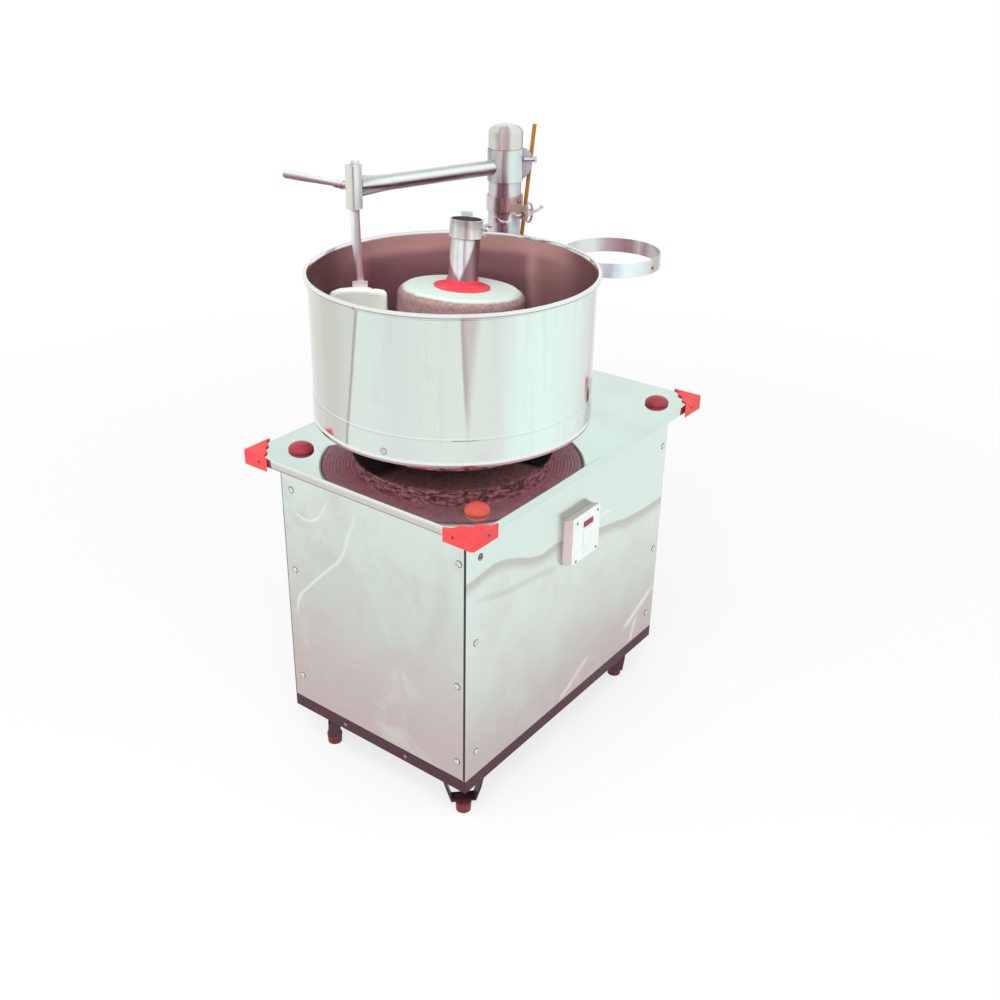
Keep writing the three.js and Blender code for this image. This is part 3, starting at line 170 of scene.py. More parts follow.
def mesh_from(name, work):
    """A mesh of this name from mesh work that is done."""
    data = bpy.data.meshes.new(name)
    work.to_mesh(data)
    work.free()
    return data


def where(tree):
    """A wire that carries the place on the object."""
    return Wire(tree).node("ShaderNodeTexCoord", {}, {}, "Object")


def vector(place, operation, other=(0, 0, 0)):
    """Vector Math on a place, which gives a number where it measures and else another place."""
    output = "Value" if operation in ("LENGTH", "DISTANCE", "DOT_PRODUCT") else 0
    return place.node("ShaderNodeVectorMath", {"operation": operation}, {0: place, 1: other}, output)


def bare_finish(name):
    """A new material, and the wire that carries the place on the object."""
    finish = bpy.data.materials.new(name)
    finish.use_nodes = True
    return finish, where(finish.node_tree)


def made_up(finish, colour, rough, relief=(), metal=0.0, shine=0.5):
    """A finish with its colour and dullness, and its relief as (strength, depth, height), fine to wide."""
    surface = finish.node_tree.nodes["Principled BSDF"]
    wire = Wire(finish.node_tree)
    values = {"Base Color": colour, "Roughness": rough, "Metallic": metal, "Specular IOR Level": shine}
    for strength, depth, height in relief:
        bump = {"Strength": strength, "Distance": depth, "Height": height}
        if "Normal" in values:
            bump["Normal"] = values["Normal"]
        values["Normal"] = wire.node("ShaderNodeBump", {}, bump)
    for name, value in values.items():
        wire.plug(surface.inputs[name], value)
    return finish


def seen_rays(wire):
    """1 for what the lens, bright metal and clear plastic see, and 0 for the light that falls on things."""
    path = wire.node("ShaderNodeLightPath", {}, {}, "Is Camera Ray")
    glossy = Wire(wire.tree, path.socket.node.outputs["Is Glossy Ray"])
    through = Wire(wire.tree, path.socket.node.outputs["Is Transmission Ray"])
    return path.maths("MAXIMUM", path.maths("MAXIMUM", path, glossy), through)


floor_size = 40.0
floor_drop = -0.0005
floor_work = bmesh.new()
bmesh.ops.create_grid(floor_work, x_segments=8, y_segments=8, size=floor_size)
floor = placed("studio_floor", mesh_from("studio_floor", floor_work))
floor.location.z = floor_drop
floor_finish, floor_place = bare_finish("studio_floor")
floor.data.materials.append(made_up(floor_finish, (0.90, 0.90, 0.90, 1), 0.9, shine=0.1))
floor_nodes = floor_finish.node_tree.nodes
floor_white = vector(floor_place, "LENGTH").between(0.5, 3.0) * 0.24 + 0.76
floor_mix = floor_place.node("ShaderNodeMixShader", {}, {
    0: seen_rays(floor_place) * floor_white,
    1: Wire(floor_place.tree, floor_nodes["Principled BSDF"].outputs[0]),
    2: floor_place.node("ShaderNodeEmission", {}, {"Color": (1, 1, 1, 1), "Strength": 1.0}),
})
floor_place.plug(floor_nodes["Material Output"].inputs["Surface"], floor_mix)

sky = bpy.data.worlds.new("studio_sky")
bpy.context.scene.world = sky
sky.use_nodes = True
sky_wire = Wire(sky.node_tree)
sky_light = {"Color": (1, 1, 1, 1), "Strength": seen_rays(sky_wire) * 0.42 + 0.58}
sky_glow = sky_wire.node("ShaderNodeBackground", {}, sky_light)
sky_wire.plug(sky.node_tree.nodes["World Output"].inputs["Surface"], sky_glow)

lamp_target = Vector((0, 0, 0.6))
for name, spot, size, power in (
    ("lamp_over_front", (0.8, -1.7, 3.0), 2.6, 72),
    ("lamp_left", (-2.6, -1.6, 1.8), 2.0, 14),
    ("lamp_right", (2.5, 0.9, 2.1), 2.0, 14),
):
    lamp = placed(name, bpy.data.lights.new(name, "AREA"))
    lamp.data.shape = "SQUARE"
    lamp.data.size = size
    lamp.data.energy = power
    lamp.visible_glossy = False
    lamp.location = spot
    lamp.rotation_euler = (lamp_target - Vector(spot)).to_track_quat("-Z", "Y").to_euler()


# The machine stands on four turned rubber pads, each moulded on the flat of a bent steel strap that
# is bolted to the bottom rail. The rubber is dull dark red and the strap has the rail's plum paint.
def eased(outline, ease, steps=4):
    """Rounds the corners of a closed outline; a point may carry its own ease as a third number."""
    points = []
    for i, (x, y, *own) in enumerate(outline):
        here = Vector((x, y))
        before = Vector(outline[i - 1][:2]) - here
        after = Vector(outline[(i + 1) % len(outline)][:2]) - here
        radius = own[0] if own else ease
        if radius == 0 or before.length == 0 or after.length == 0:
            points.append((x, y))
            continue
        reach = radius / math.tan(before.angle(after) / 2)
        reach = min(reach, before.length * 0.48, after.length * 0.48)
        start = here + before.normalized() * reach
        end = here + after.normalized() * reach
        for step in range(steps + 1):
            t = step / steps
            spot = start * (1 - t) ** 2 + here * (2 * t * (1 - t)) + end * t ** 2
            points.append((spot.x, spot.y))
    return points


def skinned(rings):
    """Mesh work from a loop of rings of points; a ring of one point closes the skin there."""
    work = bmesh.new()
    rows = [[work.verts.new(point) for point in ring] for ring in rings]
    sides = max(len(row) for row in rows)
    for low, high in zip(rows, rows[1:] + rows[:1]):
        if len(low) == 1 and len(high) == 1:
            continue
        for i in range(sides):
            j = (i + 1) % sides
            quad = [low[i % len(low)], low[j % len(low)], high[j % len(high)], high[i % len(high)]]
            work.faces.new(list(dict.fromkeys(quad)))
    return work


def turned(outline, sides, foot=(0, 0, 0)):
    """Mesh work turned on a lathe round an upright axis, from an outline of (radius, height)."""
    turns = [2 * math.pi * i / sides for i in range(sides)]
    rings = []
    for radius, height in outline:
        if radius < 1e-6:
            ring = [Vector((0, 0, height))]
        else:
            ring = [Vector((radius * math.cos(t), radius * math.sin(t), height)) for t in turns]
        rings.append([point + Vector(foot) for point in ring])
    return skinned(rings)


def shaped(name, work, finish, body, stands_for=(), soft=35):
    """Turns mesh work into a piece with its finish, smooth but for its sharp edges, riding on its body."""
    bmesh.ops.recalc_face_normals(work, faces=work.faces)
    data = mesh_from(name, work)
    data.shade_smooth()
    data.set_sharp_from_angle(angle=math.radians(soft))
    data.materials.append(finish)
    piece = placed(name, data)
    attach(piece, body)
    if stands_for:
        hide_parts(*stands_for)
    return piece


def middle(node):
    low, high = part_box(node)
    return (low + high) / 2


def stands_at(node, height=0.0):
    """The spot on a piece's upright middle line at this height."""
    return Vector((middle(node).x, middle(node).y, height))


smooth_rounds = bpy.data.node_groups.new("smooth_rounds", "GeometryNodeTree")
for way in ("INPUT", "OUTPUT"):
    smooth_rounds.interface.new_socket("Geometry", in_out=way, socket_type="NodeSocketGeometry")
solid = Wire(smooth_rounds).node("NodeGroupInput")
plain = solid.node("GeometryNodeRemoveAttribute", {}, {0: solid, "Name": "custom_normal"})
joined = solid.node("GeometryNodeMergeByDistance", {}, {0: plain, "Distance": 0.00002})
round_faces = solid.node("GeometryNodeSetShadeSmooth", {}, {0: joined})
bend = solid.node("GeometryNodeInputMeshEdgeAngle", {}, {}, "Unsigned Angle")
gentle = solid.node("FunctionNodeCompare", {"operation": "LESS_THAN"}, {"A": bend, "B": math.radians(30)})
round_edges = solid.node(
    "GeometryNodeSetShadeSmooth", {"domain": "EDGE"}, {0: round_faces, "Shade Smooth": gentle},
)
solid.plug(smooth_rounds.nodes.new("NodeGroupOutput").inputs[0], round_edges)


def dressed(node, finish, edge=0.0006):
    """A piece that keeps its solid: its finish, worn edges and smooth rounds."""
    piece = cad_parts[node]
    piece.data.materials.clear()
    piece.data.materials.append(finish)
    piece.modifiers.new("smooth_rounds", "NODES").node_group = smooth_rounds
    bevel = piece.modifiers.new("worn_edges", "BEVEL")
    bevel.width = edge
    bevel.segments = 2
    bevel.limit_method = "ANGLE"
    bevel.angle_limit = math.radians(40)
    bevel.harden_normals = True


def noise(place, scale, detail, rough=0.5, warp=0.0, output=0):
    """Cloudy noise over a place, which lies about 0.5."""
    values = {"Vector": place, "Scale": scale, "Detail": detail, "Roughness": rough, "Distortion": warp}
    return place.node("ShaderNodeTexNoise", {}, values, output)


def moulded_rubber(name, colour, dusty):
    finish, place = bare_finish(name)
    dust = noise(place, 60, 5).between(0.45, 0.75)
    grain = noise(place, 900, 2)
    return made_up(finish, (dust * 0.5).blend(colour, dusty), dust * 0.2 + 0.55, [(0.25, 0.0004, grain)])


def plum_enamel():
    finish, place = bare_finish("plum_enamel")
    dust = noise(place, 22, 6, 0.6).between(0.48, 0.72)
    peel = [(0.2, 0.0005, noise(place, 320, 2))]
    return made_up(finish, (dust * 0.5).blend("#4b2b36", "#65434f"), dust * 0.25 + 0.42, peel, shine=0.2)


pad_rubber = moulded_rubber("pad_rubber", "#6c2229", "#94444d")
rail_enamel = plum_enamel()
for corner in ("corner", "near", "far", "hidden"):
    low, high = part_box("foot_pad_" + corner)
    across = (high.x - low.x) / 2
    tall = high.z - low.z
    outline = eased([
        (0, 0.0010, 0), (across * 0.78, 0.0010, 0.0005), (across * 0.84, 0, 0.0004),
        (across * 0.93, 0, 0.0008), (across * 0.97, tall * 0.70, 0.0004),
        (across, tall * 0.76, 0.0006), (across, tall, 0.0008), (0, tall, 0),
    ], 0.001)
    pad = turned(outline, 48, stands_at("foot_pad_" + corner, low.z))
    shaped("pad_" + corner, pad, pad_rubber, "stand", ["foot_pad_" + corner])
    dressed("foot_strap_" + corner, rail_enamel, 0.0008)

# The bottom rail is a welded channel in plum enamel. The skeleton of angle steel stands in it and
# carries the sheets, the bearing bridge and the motor plate, all in the same paint.
for node, edge in (
    ("base_frame", 0.0010), ("inner_frame", 0.0006), ("bearing_bridge", 0.0008), ("motor_plate", 0.0008),
):
    dressed(node, rail_enamel, edge)


# The cabinet is closed by four sheets of thin bright stainless steel, screwed to the skeleton. They
# are slightly buckled, and their shine drifts between a cool pale green and a dull grey pink, much
# of it painted into their colour as reflection.
def stainless(name, pale, dusky, spread, rough=0.2, mark=0.6, buckle=0.0, metal=1.0):
    """Thin bright steel, pale with dusky clouds and smears whose size follows the spread."""
    finish, place = bare_finish(name)
    clouds = noise(place, spread, 3, warp=0.9).between(0.42, 0.68)
    smears = noise(place, spread * 14, 4, 0.65).between(0.5, 0.8)
    colour = (clouds * mark + smears * (0.22 * mark)).blend(pale, dusky)
    relief = [(0.05, 0.0002, noise(place, 700, 2))]
    if buckle:
        relief.append((buckle, 0.02, noise(place, 3.4, 1, warp=0.5)))
    return made_up(finish, colour, clouds * 0.06 + smears * 0.08 + rough, relief, metal)


def part(place, axis):
    """How far a place lies along X, Y or Z."""
    return place.node("ShaderNodeSeparateXYZ", {}, {"Vector": place}, axis)


def toned(level, tones):
    """A colour that runs through the given swatches as the level goes from 0 to 1."""
    stops = [(at, paint(code)) for at, code in tones.items()]
    return level.node("ShaderNodeValToRGB", {"stops": stops}, {"Fac": level})


def near(level, at, inner, outer):
    """A soft line: 1 where the level is within the inner distance of a value, and 0 past the outer."""
    return abs(level - at).fading(inner, outer)


def crease(level, points):
    """The run of a line across a sheet: its second number, read off at the first."""
    low, high = points[0][0], points[-1][0]
    stops = [((at - low) / (high - low), (run + 0.3,) * 3 + (1,)) for at, run in points]
    ramp = {"stops": stops, "smooth": "CARDINAL"}
    return level.node("ShaderNodeValToRGB", ramp, {"Fac": (level - low) * (1 / (high - low))}) - 0.3


def pressed_line(level, other, points, width):
    """The soft painted line of light or shade along a buckle, which fades out at both its ends."""
    low, high = points[0][0], points[-1][0]
    fade = (high - low) * 0.2
    line = near(other, crease(level, points), 0.0, width)
    return line * level.between(low, low + fade) * level.fading(high - fade, high)


def sheet_finish(name, lean, edge, cloudy, tones, buckle_shading):
    """Sheet with painted reflections: tones foot to top, paler above a leaning edge, and pressed lines."""
    finish, place = bare_finish(name)
    high = part(place, "Z")
    along = part(place, lean)
    smear = noise(vector(place, "MULTIPLY", (30, 30, 3)), 3, 5, 0.6)
    cloud = noise(place, 11, 4, 0.6)
    patch = noise(place, 8, 5, 0.62, 0.8)
    colour = toned(high * 1.65 + (noise(place, 5, 2, warp=0.6) - 0.5) * 0.16, tones)
    colour = colour.under(
        (cloud.between(0.46, 0.70) * cloudy, "#c8b8b6"),
        (patch.between(0.50, 0.72) * cloudy, "#dbe2da"),
        (smear.between(0.55, 0.8) * 0.06, "#eef6f1"),
    )
    # Painted reflection: paler above the leaning edge, with a band of painted shade just under it where the
    # tray's overhang is mirrored.
    if edge:
        over = high - crease(along, edge)
        colour = colour.under(
            (over.between(-0.003, 0.003), "#dcede6"),
            (over.fading(-0.003, 0.002) * over.between(-0.030, -0.006) * 0.75, "#bcb9b4"),
        )
    # Each buckle line is a painted highlight where its colour is pale and painted shade where it is dusky.
    for runs, points, width, strength, code in buckle_shading:
        level, other = (high, along) if runs == "up" else (along, high)
        colour = colour.under((pressed_line(level, other, points, width) * strength, code))
    relief = [(0.06, 0.0002, smear), (0.25, 0.02, noise(place, 3.4, 1, warp=0.5))]
    return made_up(finish, colour, cloud * 0.06 + smear * 0.06 + 0.16, relief, 1.0)


# The side sheets' tones from foot to top are painted reflection and shade, duskier pink low down.
side_tones = {
    0.10: "#bcadac", 0.26: "#c5bdba", 0.42: "#cfd5ce", 0.60: "#dae5dc", 0.90: "#dcebe4",
}
side_reflection_edge = (
    (-0.31, 0.500), (-0.231, 0.503), (-0.160, 0.478), (-0.113, 0.461), (-0.051, 0.460),
    (0.050, 0.440), (0.158, 0.416), (0.234, 0.405), (0.33, 0.403),
)
side_buckle_shading = (
    ("along", ((-0.310, 0.458), (-0.229, 0.437), (-0.110, 0.419), (-0.040, 0.410)), 0.012, 0.35, "#bab2af"),
    ("along", ((0.084, 0.449), (0.103, 0.457), (0.122, 0.450)), 0.005, 0.85, "#f4faf6"),
    ("along", ((0.196, 0.144), (0.240, 0.158), (0.325, 0.194)), 0.014, 0.60, "#eef7f1"),
    ("up", ((0.090, 0.236), (0.118, 0.243), (0.150, 0.254)), 0.012, 0.45, "#eef7f1"),
    ("along", ((-0.035, 0.098), (0.020, 0.122), (0.080, 0.150)), 0.012, 0.55, "#e6efe9"),
    ("along", ((0.005, 0.090), (0.060, 0.106), (0.115, 0.122)), 0.022, 0.35, "#c2a9a9"),
)
# The end sheets' tones from foot to top are painted reflection and shade in the same way.
end_tones = {
    0.10: "#c2b3b2", 0.30: "#c6bab8", 0.52: "#cacbc6", 0.74: "#d0dbd2", 0.95: "#dae5dd",
}
left_dip = (
    (-0.187, 0.516), (-0.175, 0.502), (-0.154, 0.495), (-0.130, 0.503), (-0.115, 0.518), (-0.089, 0.556),
)
long_bow = ((0.268, -0.193), (0.344, -0.166), (0.428, -0.085), (0.512, -0.044), (0.565, -0.030))
end_buckle_shading = (
    ("along", left_dip, 0.006, 0.75, "#e6f2ea"),
    ("up", long_bow, 0.007, 0.75, "#e4f0e8"),
    ("up", ((0.300, 0.110), (0.400, 0.150), (0.520, 0.165)), 0.030, 0.18, "#b9acab"),
)
side_steel = sheet_finish("side_steel", "Y", side_reflection_edge, 0.2, side_tones, side_buckle_shading)
end_steel = sheet_finish("end_steel", "X", None, 0.38, end_tones, end_buckle_shading)
sheet_edge = 0.0003
dressed("side_sheet_front", side_steel, sheet_edge)
dressed("side_sheet_back", side_steel, sheet_edge)
dressed("end_sheet_near", end_steel, sheet_edge)
dressed("end_sheet_far", end_steel, sheet_edge)


# The sheets are held by small cross-head screws with domed heads, each in a thin ring painted dark as
# the shade of the dimple its head has pressed into the steel. The first one on the side sheet is stained
# dark.
def screw_head(name, radius, rise, finish):
    """A domed head with a cross cut in it, its flat on the ground plane and its dome up."""
    outline = eased([
        (0, 0, 0), (radius, 0, 0), (radius, rise * 0.35, radius * 0.1),
        (radius * 0.55, rise * 0.9, radius * 0.4), (0, rise, 0),
    ], 0)
    whole = placed("whole", mesh_from(name, turned(outline, 28)))
    work = bmesh.new()
    for wide, long in ((0.16, 0.62), (0.62, 0.16)):
        slot = Matrix.Diagonal((radius * wide, radius * long, rise * 0.55, 1))
        bmesh.ops.create_cube(work, size=2, matrix=Matrix.Translation((0, 0, rise)) @ slot)
    cross = placed("cross", mesh_from("cross", work))
    cut = whole.modifiers.new("cross", "BOOLEAN")
    cut.operation = "DIFFERENCE"
    cut.object = cross
    cut.use_self = True
    bpy.context.view_layer.update()
    made = bpy.data.meshes.new_from_object(whole.evaluated_get(bpy.context.evaluated_depsgraph_get()))
    made.name = name
    bpy.data.objects.remove(whole)
    bpy.data.objects.remove(cross)
    made.shade_smooth()
    made.set_sharp_from_angle(angle=math.radians(32))
    made.materials.append(finish)
    return made


def dimple(head, radius, finish):
    """Adds a thin ring round a head, painted dark as the shade of its dimple, as a second finish of the same
    mesh.
    """
    sides = 32
    work = bmesh.new()
    work.from_mesh(head)
    inner, outer, tall = radius * 0.98, radius * 1.22, 0.0003
    ring = eased([(inner, 0, 0), (outer, 0, 0), (radius * 1.20, tall, 0.0001), (inner, tall, 0)], 0)
    turns = [2 * math.pi * i / sides for i in range(sides)]
    rows = [[work.verts.new((r * math.cos(t), r * math.sin(t), h)) for t in turns] for r, h in ring]
    for low, high in zip(rows, rows[1:] + rows[:1]):
        for i in range(sides):
            j = (i + 1) % sides
            work.faces.new((low[i], low[j], high[j], high[i])).material_index = 1
    bmesh.ops.recalc_face_normals(work, faces=work.faces)
    work.to_mesh(head)
    work.free()
    head.materials.append(finish)


def fasten(name, data, spot, facing, spin=0.0, body="stand"):
    """Puts one fastener on a surface, its foot at the spot and its head along facing."""
    piece = placed(name, data)
    aim = Vector(facing).to_track_quat("Z", "Y").to_matrix().to_4x4()
    piece.matrix_world = Matrix.Translation(spot) @ aim @ Matrix.Rotation(spin, 4, "Z")
    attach(piece, body)


screw_radius = 0.0055
screw_steel = stainless("screw_steel", "#e9f3ee", "#8f7f84", 160.0, 0.24, 0.8)
dark_steel_and_ring_shade = stainless("dark_steel_and_ring_shade", "#7d6c70", "#54424a", 160.0, 0.4, 0.8)
panel_screw = screw_head("panel_screw", screw_radius, 0.0024, screw_steel)
dimple(panel_screw, screw_radius, dark_steel_and_ring_shade)
stained_screw = panel_screw.copy()
stained_screw.materials[0] = stainless("stained_screw_steel", "#a58e98", "#5f4a55", 160.0, 0.3, 0.8)
side_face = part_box("side_sheet_front")[1].x
back_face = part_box("side_sheet_back")[0].x
near_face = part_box("end_sheet_near")[0].y
far_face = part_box("end_sheet_far")[1].y
side_places = (
    (-0.284, 0.535), (-0.294, 0.374), (-0.290, 0.143), (0.306, 0.518), (0.303, 0.288), (0.296, 0.135),
)
near_places = (
    (-0.185, 0.545), (-0.189, 0.379), (-0.187, 0.144), (0.194, 0.532), (0.191, 0.291), (0.191, 0.130),
)
for count, (along, high) in enumerate(side_places):
    first = panel_screw if count else stained_screw
    fasten(f"side_screw_{count}", first, (side_face, along, high), (1, 0, 0), count * 0.9)
    fasten(f"back_screw_{count}", panel_screw, (back_face, along, high), (-1, 0, 0), count * 1.3)
for count, (along, high) in enumerate(near_places):
    fasten(f"near_screw_{count}", panel_screw, (along, near_face, high), (0, -1, 0), count * 0.7)
    fasten(f"far_screw_{count}", panel_screw, (along, far_face, high), (0, 1, 0), count * 1.1)


# Where two sheets meet at a corner of the cabinet, a narrow upright strip of dark paint stands for
# the shadow in the gap between their edges.
def capped(rings):
    """The same rings with a middle point at both ends, which close the skin there."""
    first, last = (sum(ring, Vector()) / len(ring) for ring in (rings[0], rings[-1]))
    return [[first], *rings, [last]]


shadow_gap_paint = moulded_rubber("shadow_gap_paint", "#2e1f27", "#50404a")
sheet_low, sheet_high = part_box("end_sheet_near")
line_wide = 0.0030
line_proud = 0.0004
line_short = 0.002
for across, face, out in (
    (sheet_high.x, near_face, -1), (sheet_high.x, far_face, 1), (sheet_low.x, far_face, 1),
):
    side = 1 if across > 0 else -1
    inner = across - side * line_wide
    outer = face + out * line_proud
    line = [(across, face), (inner, face), (inner, outer), (across, outer)]
    heights = (sheet_low.z + line_short, sheet_high.z - line_short)
    strip = skinned(capped([[Vector((x, y, height)) for x, y in line] for height in heights]))
    name = f"corner_line_{'front' if out < 0 else 'rear'}_{'right' if side > 0 else 'left'}"
    shaped(name, strip, shadow_gap_paint, "stand")


# The bottom rail is riveted to the skeleton through the middle of its faces at both ends, with
# small domed heads that took some of the rail's paint.
def rivet_head(name, outline, sides, finish):
    head = mesh_from(name, turned(eased(outline, 0), sides))
    head.shade_smooth()
    head.materials.append(finish)
    return head


rivet_steel = stainless("rivet_steel", "#b08a94", "#6d4a56", 200.0, 0.4, 0.8)
rail_rivet = rivet_head("rail_rivet", [
    (0, 0, 0), (0.0042, 0, 0), (0.0040, 0.0008, 0.0004), (0.0022, 0.0020, 0.001), (0, 0.0022, 0),
], 24, rivet_steel)
rail_low, rail_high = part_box("base_frame")
rail_middle = (rail_low.z + rail_high.z) / 2
for count, along in enumerate((-0.078, 0.071)):
    fasten(f"rail_rivet_near_{count}", rail_rivet, (along, rail_low.y, rail_middle), (0, -1, 0))
    fasten(f"rail_rivet_far_{count}", rail_rivet, (along, rail_high.y, rail_middle), (0, 1, 0))


# The top is a shallow tray of thick polished sheet, folded down all round with an easy bend. It is
# the brightest face of the cabinet, and it mirrors the underside of the stone above it.
def rounded_ring(half_x, half_y, corner, height, around=48):
    """A ring of points round a rectangle with rounded corners."""
    ring = []
    for quarter, (sx, sy) in enumerate(((1, 1), (-1, 1), (-1, -1), (1, -1))):
        for step in range(around // 4):
            turn = math.pi / 2 * (quarter + step / (around // 4 - 1))
            x = sx * (half_x - corner) + corner * math.cos(turn)
            y = sy * (half_y - corner) + corner * math.sin(turn)
            ring.append(Vector((x, y, height)))
    return ring


tray_steel = stainless("tray_steel", "#d6eae2", "#ccd6d0", 3.0, 0.05, 0.45, 0.05)
tray_low, tray_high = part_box("top_tray")
tray_across = tray_high.x
tray_along = tray_high.y
tray_sheet = 0.0015
tray_bend = 0.0032
tray_corner = 0.006
shaft_hole = 0.045
drum_foot = stands_at("drum_shell")


def hole_ring(like, height):
    """The edge of the shaft's hole, whose points follow the points of another ring."""
    ring = []
    for point in like:
        turn = math.atan2(point.y - drum_foot.y, point.x - drum_foot.x)
        out = Vector((shaft_hole * math.cos(turn), shaft_hole * math.sin(turn)))
        ring.append(Vector((drum_foot.x + out.x, drum_foot.y + out.y, height)))
    return ring


def fold_ring(turn, sheet):
    """A ring of the fold at this turn of the bend, on the face that lies this deep in the sheet."""
    out = sheet + (tray_bend - sheet) * (1 - math.sin(turn))
    fall = sheet + (tray_bend - sheet) * (1 - math.cos(turn))
    return rounded_ring(tray_across - out, tray_along - out, tray_corner - sheet, tray_high.z - fall)


top_plain = rounded_ring(tray_across - tray_bend, tray_along - tray_bend, tray_corner, tray_high.z)
tray_rings = [hole_ring(top_plain, tray_high.z)]
tray_rings += [fold_ring(math.pi / 2 * step / 6, 0) for step in range(7)]
for sheet in (0, tray_sheet):
    edge = (tray_across - sheet, tray_along - sheet, tray_corner - sheet)
    tray_rings.append(rounded_ring(*edge, tray_low.z))
tray_rings += [fold_ring(math.pi / 2 * (1 - step / 3), tray_sheet) for step in range(4)]
tray_rings.append(hole_ring(top_plain, tray_high.z - tray_sheet))
tray = shaped("tray", skinned(tray_rings), tray_steel, "stand", ["top_tray"])


def folded_edge():
    """The fold along the two ends of the tray, with a painted highlight at the bend and painted shade toward
    its cut lower edge.
    """
    finish, place = bare_finish("folded_edge")
    wipe = noise(place, 26, 4) - 0.5
    level = (part(place, "Z") - tray_low.z) * (1 / (tray_high.z - tray_low.z)) + wipe * 0.12
    colour = toned(level, {
        0.0: "#9f8886", 0.10: "#b3a19e", 0.20: "#d0cdc6", 0.55: "#cbcac3", 0.80: "#dbe4dc",
        1.0: "#f0ebe8",
    })
    return made_up(finish, colour, wipe * 0.1 + 0.2, [(0.1, 0.0003, wipe)], 0.9)


def own_finish(piece, finish, chosen):
    """Gives a finish of their own to the faces that are chosen by their middle and their facing."""
    piece.data.materials.append(finish)
    for face in piece.data.polygons:
        if chosen(face.center, face.normal):
            face.material_index = len(piece.data.materials) - 1


fold_line = tray_along - tray_bend
own_finish(tray, folded_edge(), lambda spot, facing: abs(facing.y) > 0.5 and abs(spot.y) > fold_line)


# Each corner of the tray is capped by a moulded guard of coral plastic, held by two small screws.
# Mushroom plugs of dark red plastic fill the holes where the tray's own bolts go down.
def moulded_plastic(name, colour, shade, rough=0.38, fine=500.0):
    finish, place = bare_finish(name)
    flow = noise(place, 34, 4, warp=0.6).between(0.4, 0.7)
    grain = [(0.12, 0.0003, noise(place, fine, 3))]
    return made_up(finish, (flow * 0.3).blend(colour, shade), flow * 0.1 + rough, grain, shine=0.3)


guard_plastic = moulded_plastic("guard_plastic", "#ee4e50", "#d83c47", 0.45)
plug_plastic = moulded_plastic("plug_plastic", "#a63a46", "#8a2c3a", 0.36)
front_plug_plastic = moulded_plastic("front_plug_plastic", "#cf564b", "#b64842", 0.36)
guard_screw = screw_head("guard_screw", 0.0026, 0.0012, dark_steel_and_ring_shade)
guard_screw_in = 0.040
guard_screw_high = 0.6065
front_plug_share = 0.93
for corner in ("front", "left", "right", "back"):
    dressed("corner_guard_" + corner, guard_plastic, 0.0020)
    low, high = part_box("corner_guard_" + corner)
    out_x = 1 if high.x > 0 else -1
    out_y = 1 if high.y > 0 else -1
    face_x = high.x if out_x > 0 else low.x
    face_y = high.y if out_y > 0 else low.y
    end_spot = (face_x - out_x * guard_screw_in, face_y, guard_screw_high)
    side_spot = (face_x, face_y - out_y * guard_screw_in, guard_screw_high)
    fasten(f"guard_screw_{corner}_end", guard_screw, end_spot, (0, out_y, 0))
    fasten(f"guard_screw_{corner}_side", guard_screw, side_spot, (out_x, 0, 0))
    low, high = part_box("tray_plug_" + corner)
    across = (high.x - low.x) / 2 * (front_plug_share if corner == "front" else 1)
    foot = stands_at("tray_plug_" + corner, tray_high.z + 0.0003)
    tall = high.z - foot.z
    brim = tall * 0.12
    outline = [(0, 0), (across * 0.985, 0)]
    for step in range(12, -1, -1):
        turn = math.pi / 2 * step / 12
        outline.append((across * math.sin(turn), brim + (tall - brim) * math.cos(turn)))
    finish = front_plug_plastic if corner == "front" else plug_plastic
    plug = turned(outline, 64, foot)
    shaped("plug_" + corner, plug, finish, "stand", ["tray_plug_" + corner])

# The switch sits on the right side in a white moulded box with a screwed cover, a wide rocker and a
# dark red lens over its lamp. The box behind the cover's lip is painted a duller pink than the cover, as
# shade.
white_plastic = moulded_plastic("white_plastic", "#f6fffa", "#e6f1ec", 0.3)
shaded_box_plastic = moulded_plastic("shaded_box_plastic", "#d9c9c6", "#c2afac", 0.4)
lens_plastic = moulded_plastic("lens_plastic", "#a02c48", "#7c1c38", 0.15)
dressed("switch_cover", white_plastic, 0.0007)
dressed("switch_rocker", white_plastic, 0.0007)
dressed("pilot_lens", lens_plastic, 0.0004)
box_low, box_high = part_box("switch_box")
cover_low, cover_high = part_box("switch_cover")
box_rim = (box_low.y, box_high.y, box_low.z, box_high.z - 0.0045)
lip_rim = (cover_low.y - 0.0042, cover_high.y + 0.0008, cover_low.z - 0.0012, cover_high.z + 0.0012)
lip_out = cover_high.x - box_low.x - 0.0005
box_rings = []
for across, (low_y, high_y, low_z, high_z), slip in (
    (0, box_rim, 0), (0.0035, box_rim, 0), (lip_out - 0.001, lip_rim, 0),
    (lip_out, lip_rim, 0.0008), (lip_out, lip_rim, 0.0038), (0.0090, lip_rim, 0.0042),
):
    left, right = low_y + slip, high_y - slip
    foot, top = low_z + slip, high_z - slip
    rim = eased([(left, foot), (right, foot), (right, top), (left, top)], 0.003)
    box_rings.append([Vector((box_low.x + across, y, z)) for y, z in rim])
case_work = skinned(capped(box_rings))
switch_case = shaped("switch_case", case_work, shaded_box_plastic, "stand", ["switch_box"], 30)
own_finish(switch_case, white_plastic, lambda spot, facing: spot.x > box_low.x + lip_out - 0.0012)
cover_steel = stainless("cover_screw_steel", "#8c8286", "#4d4348", 200.0, 0.3, 0.8)
cover_screw = screw_head("cover_screw", 0.0030, 0.0012, cover_steel)
cover_places = ((-0.0224, 0.490), (-0.0224, 0.412), (0.044, 0.491), (0.044, 0.414))
for count, (along, high) in enumerate(cover_places):
    fasten(f"cover_screw_{count}", cover_screw, (cover_high.x - 0.0004, along, high), (1, 0, 0), count * 0.5)

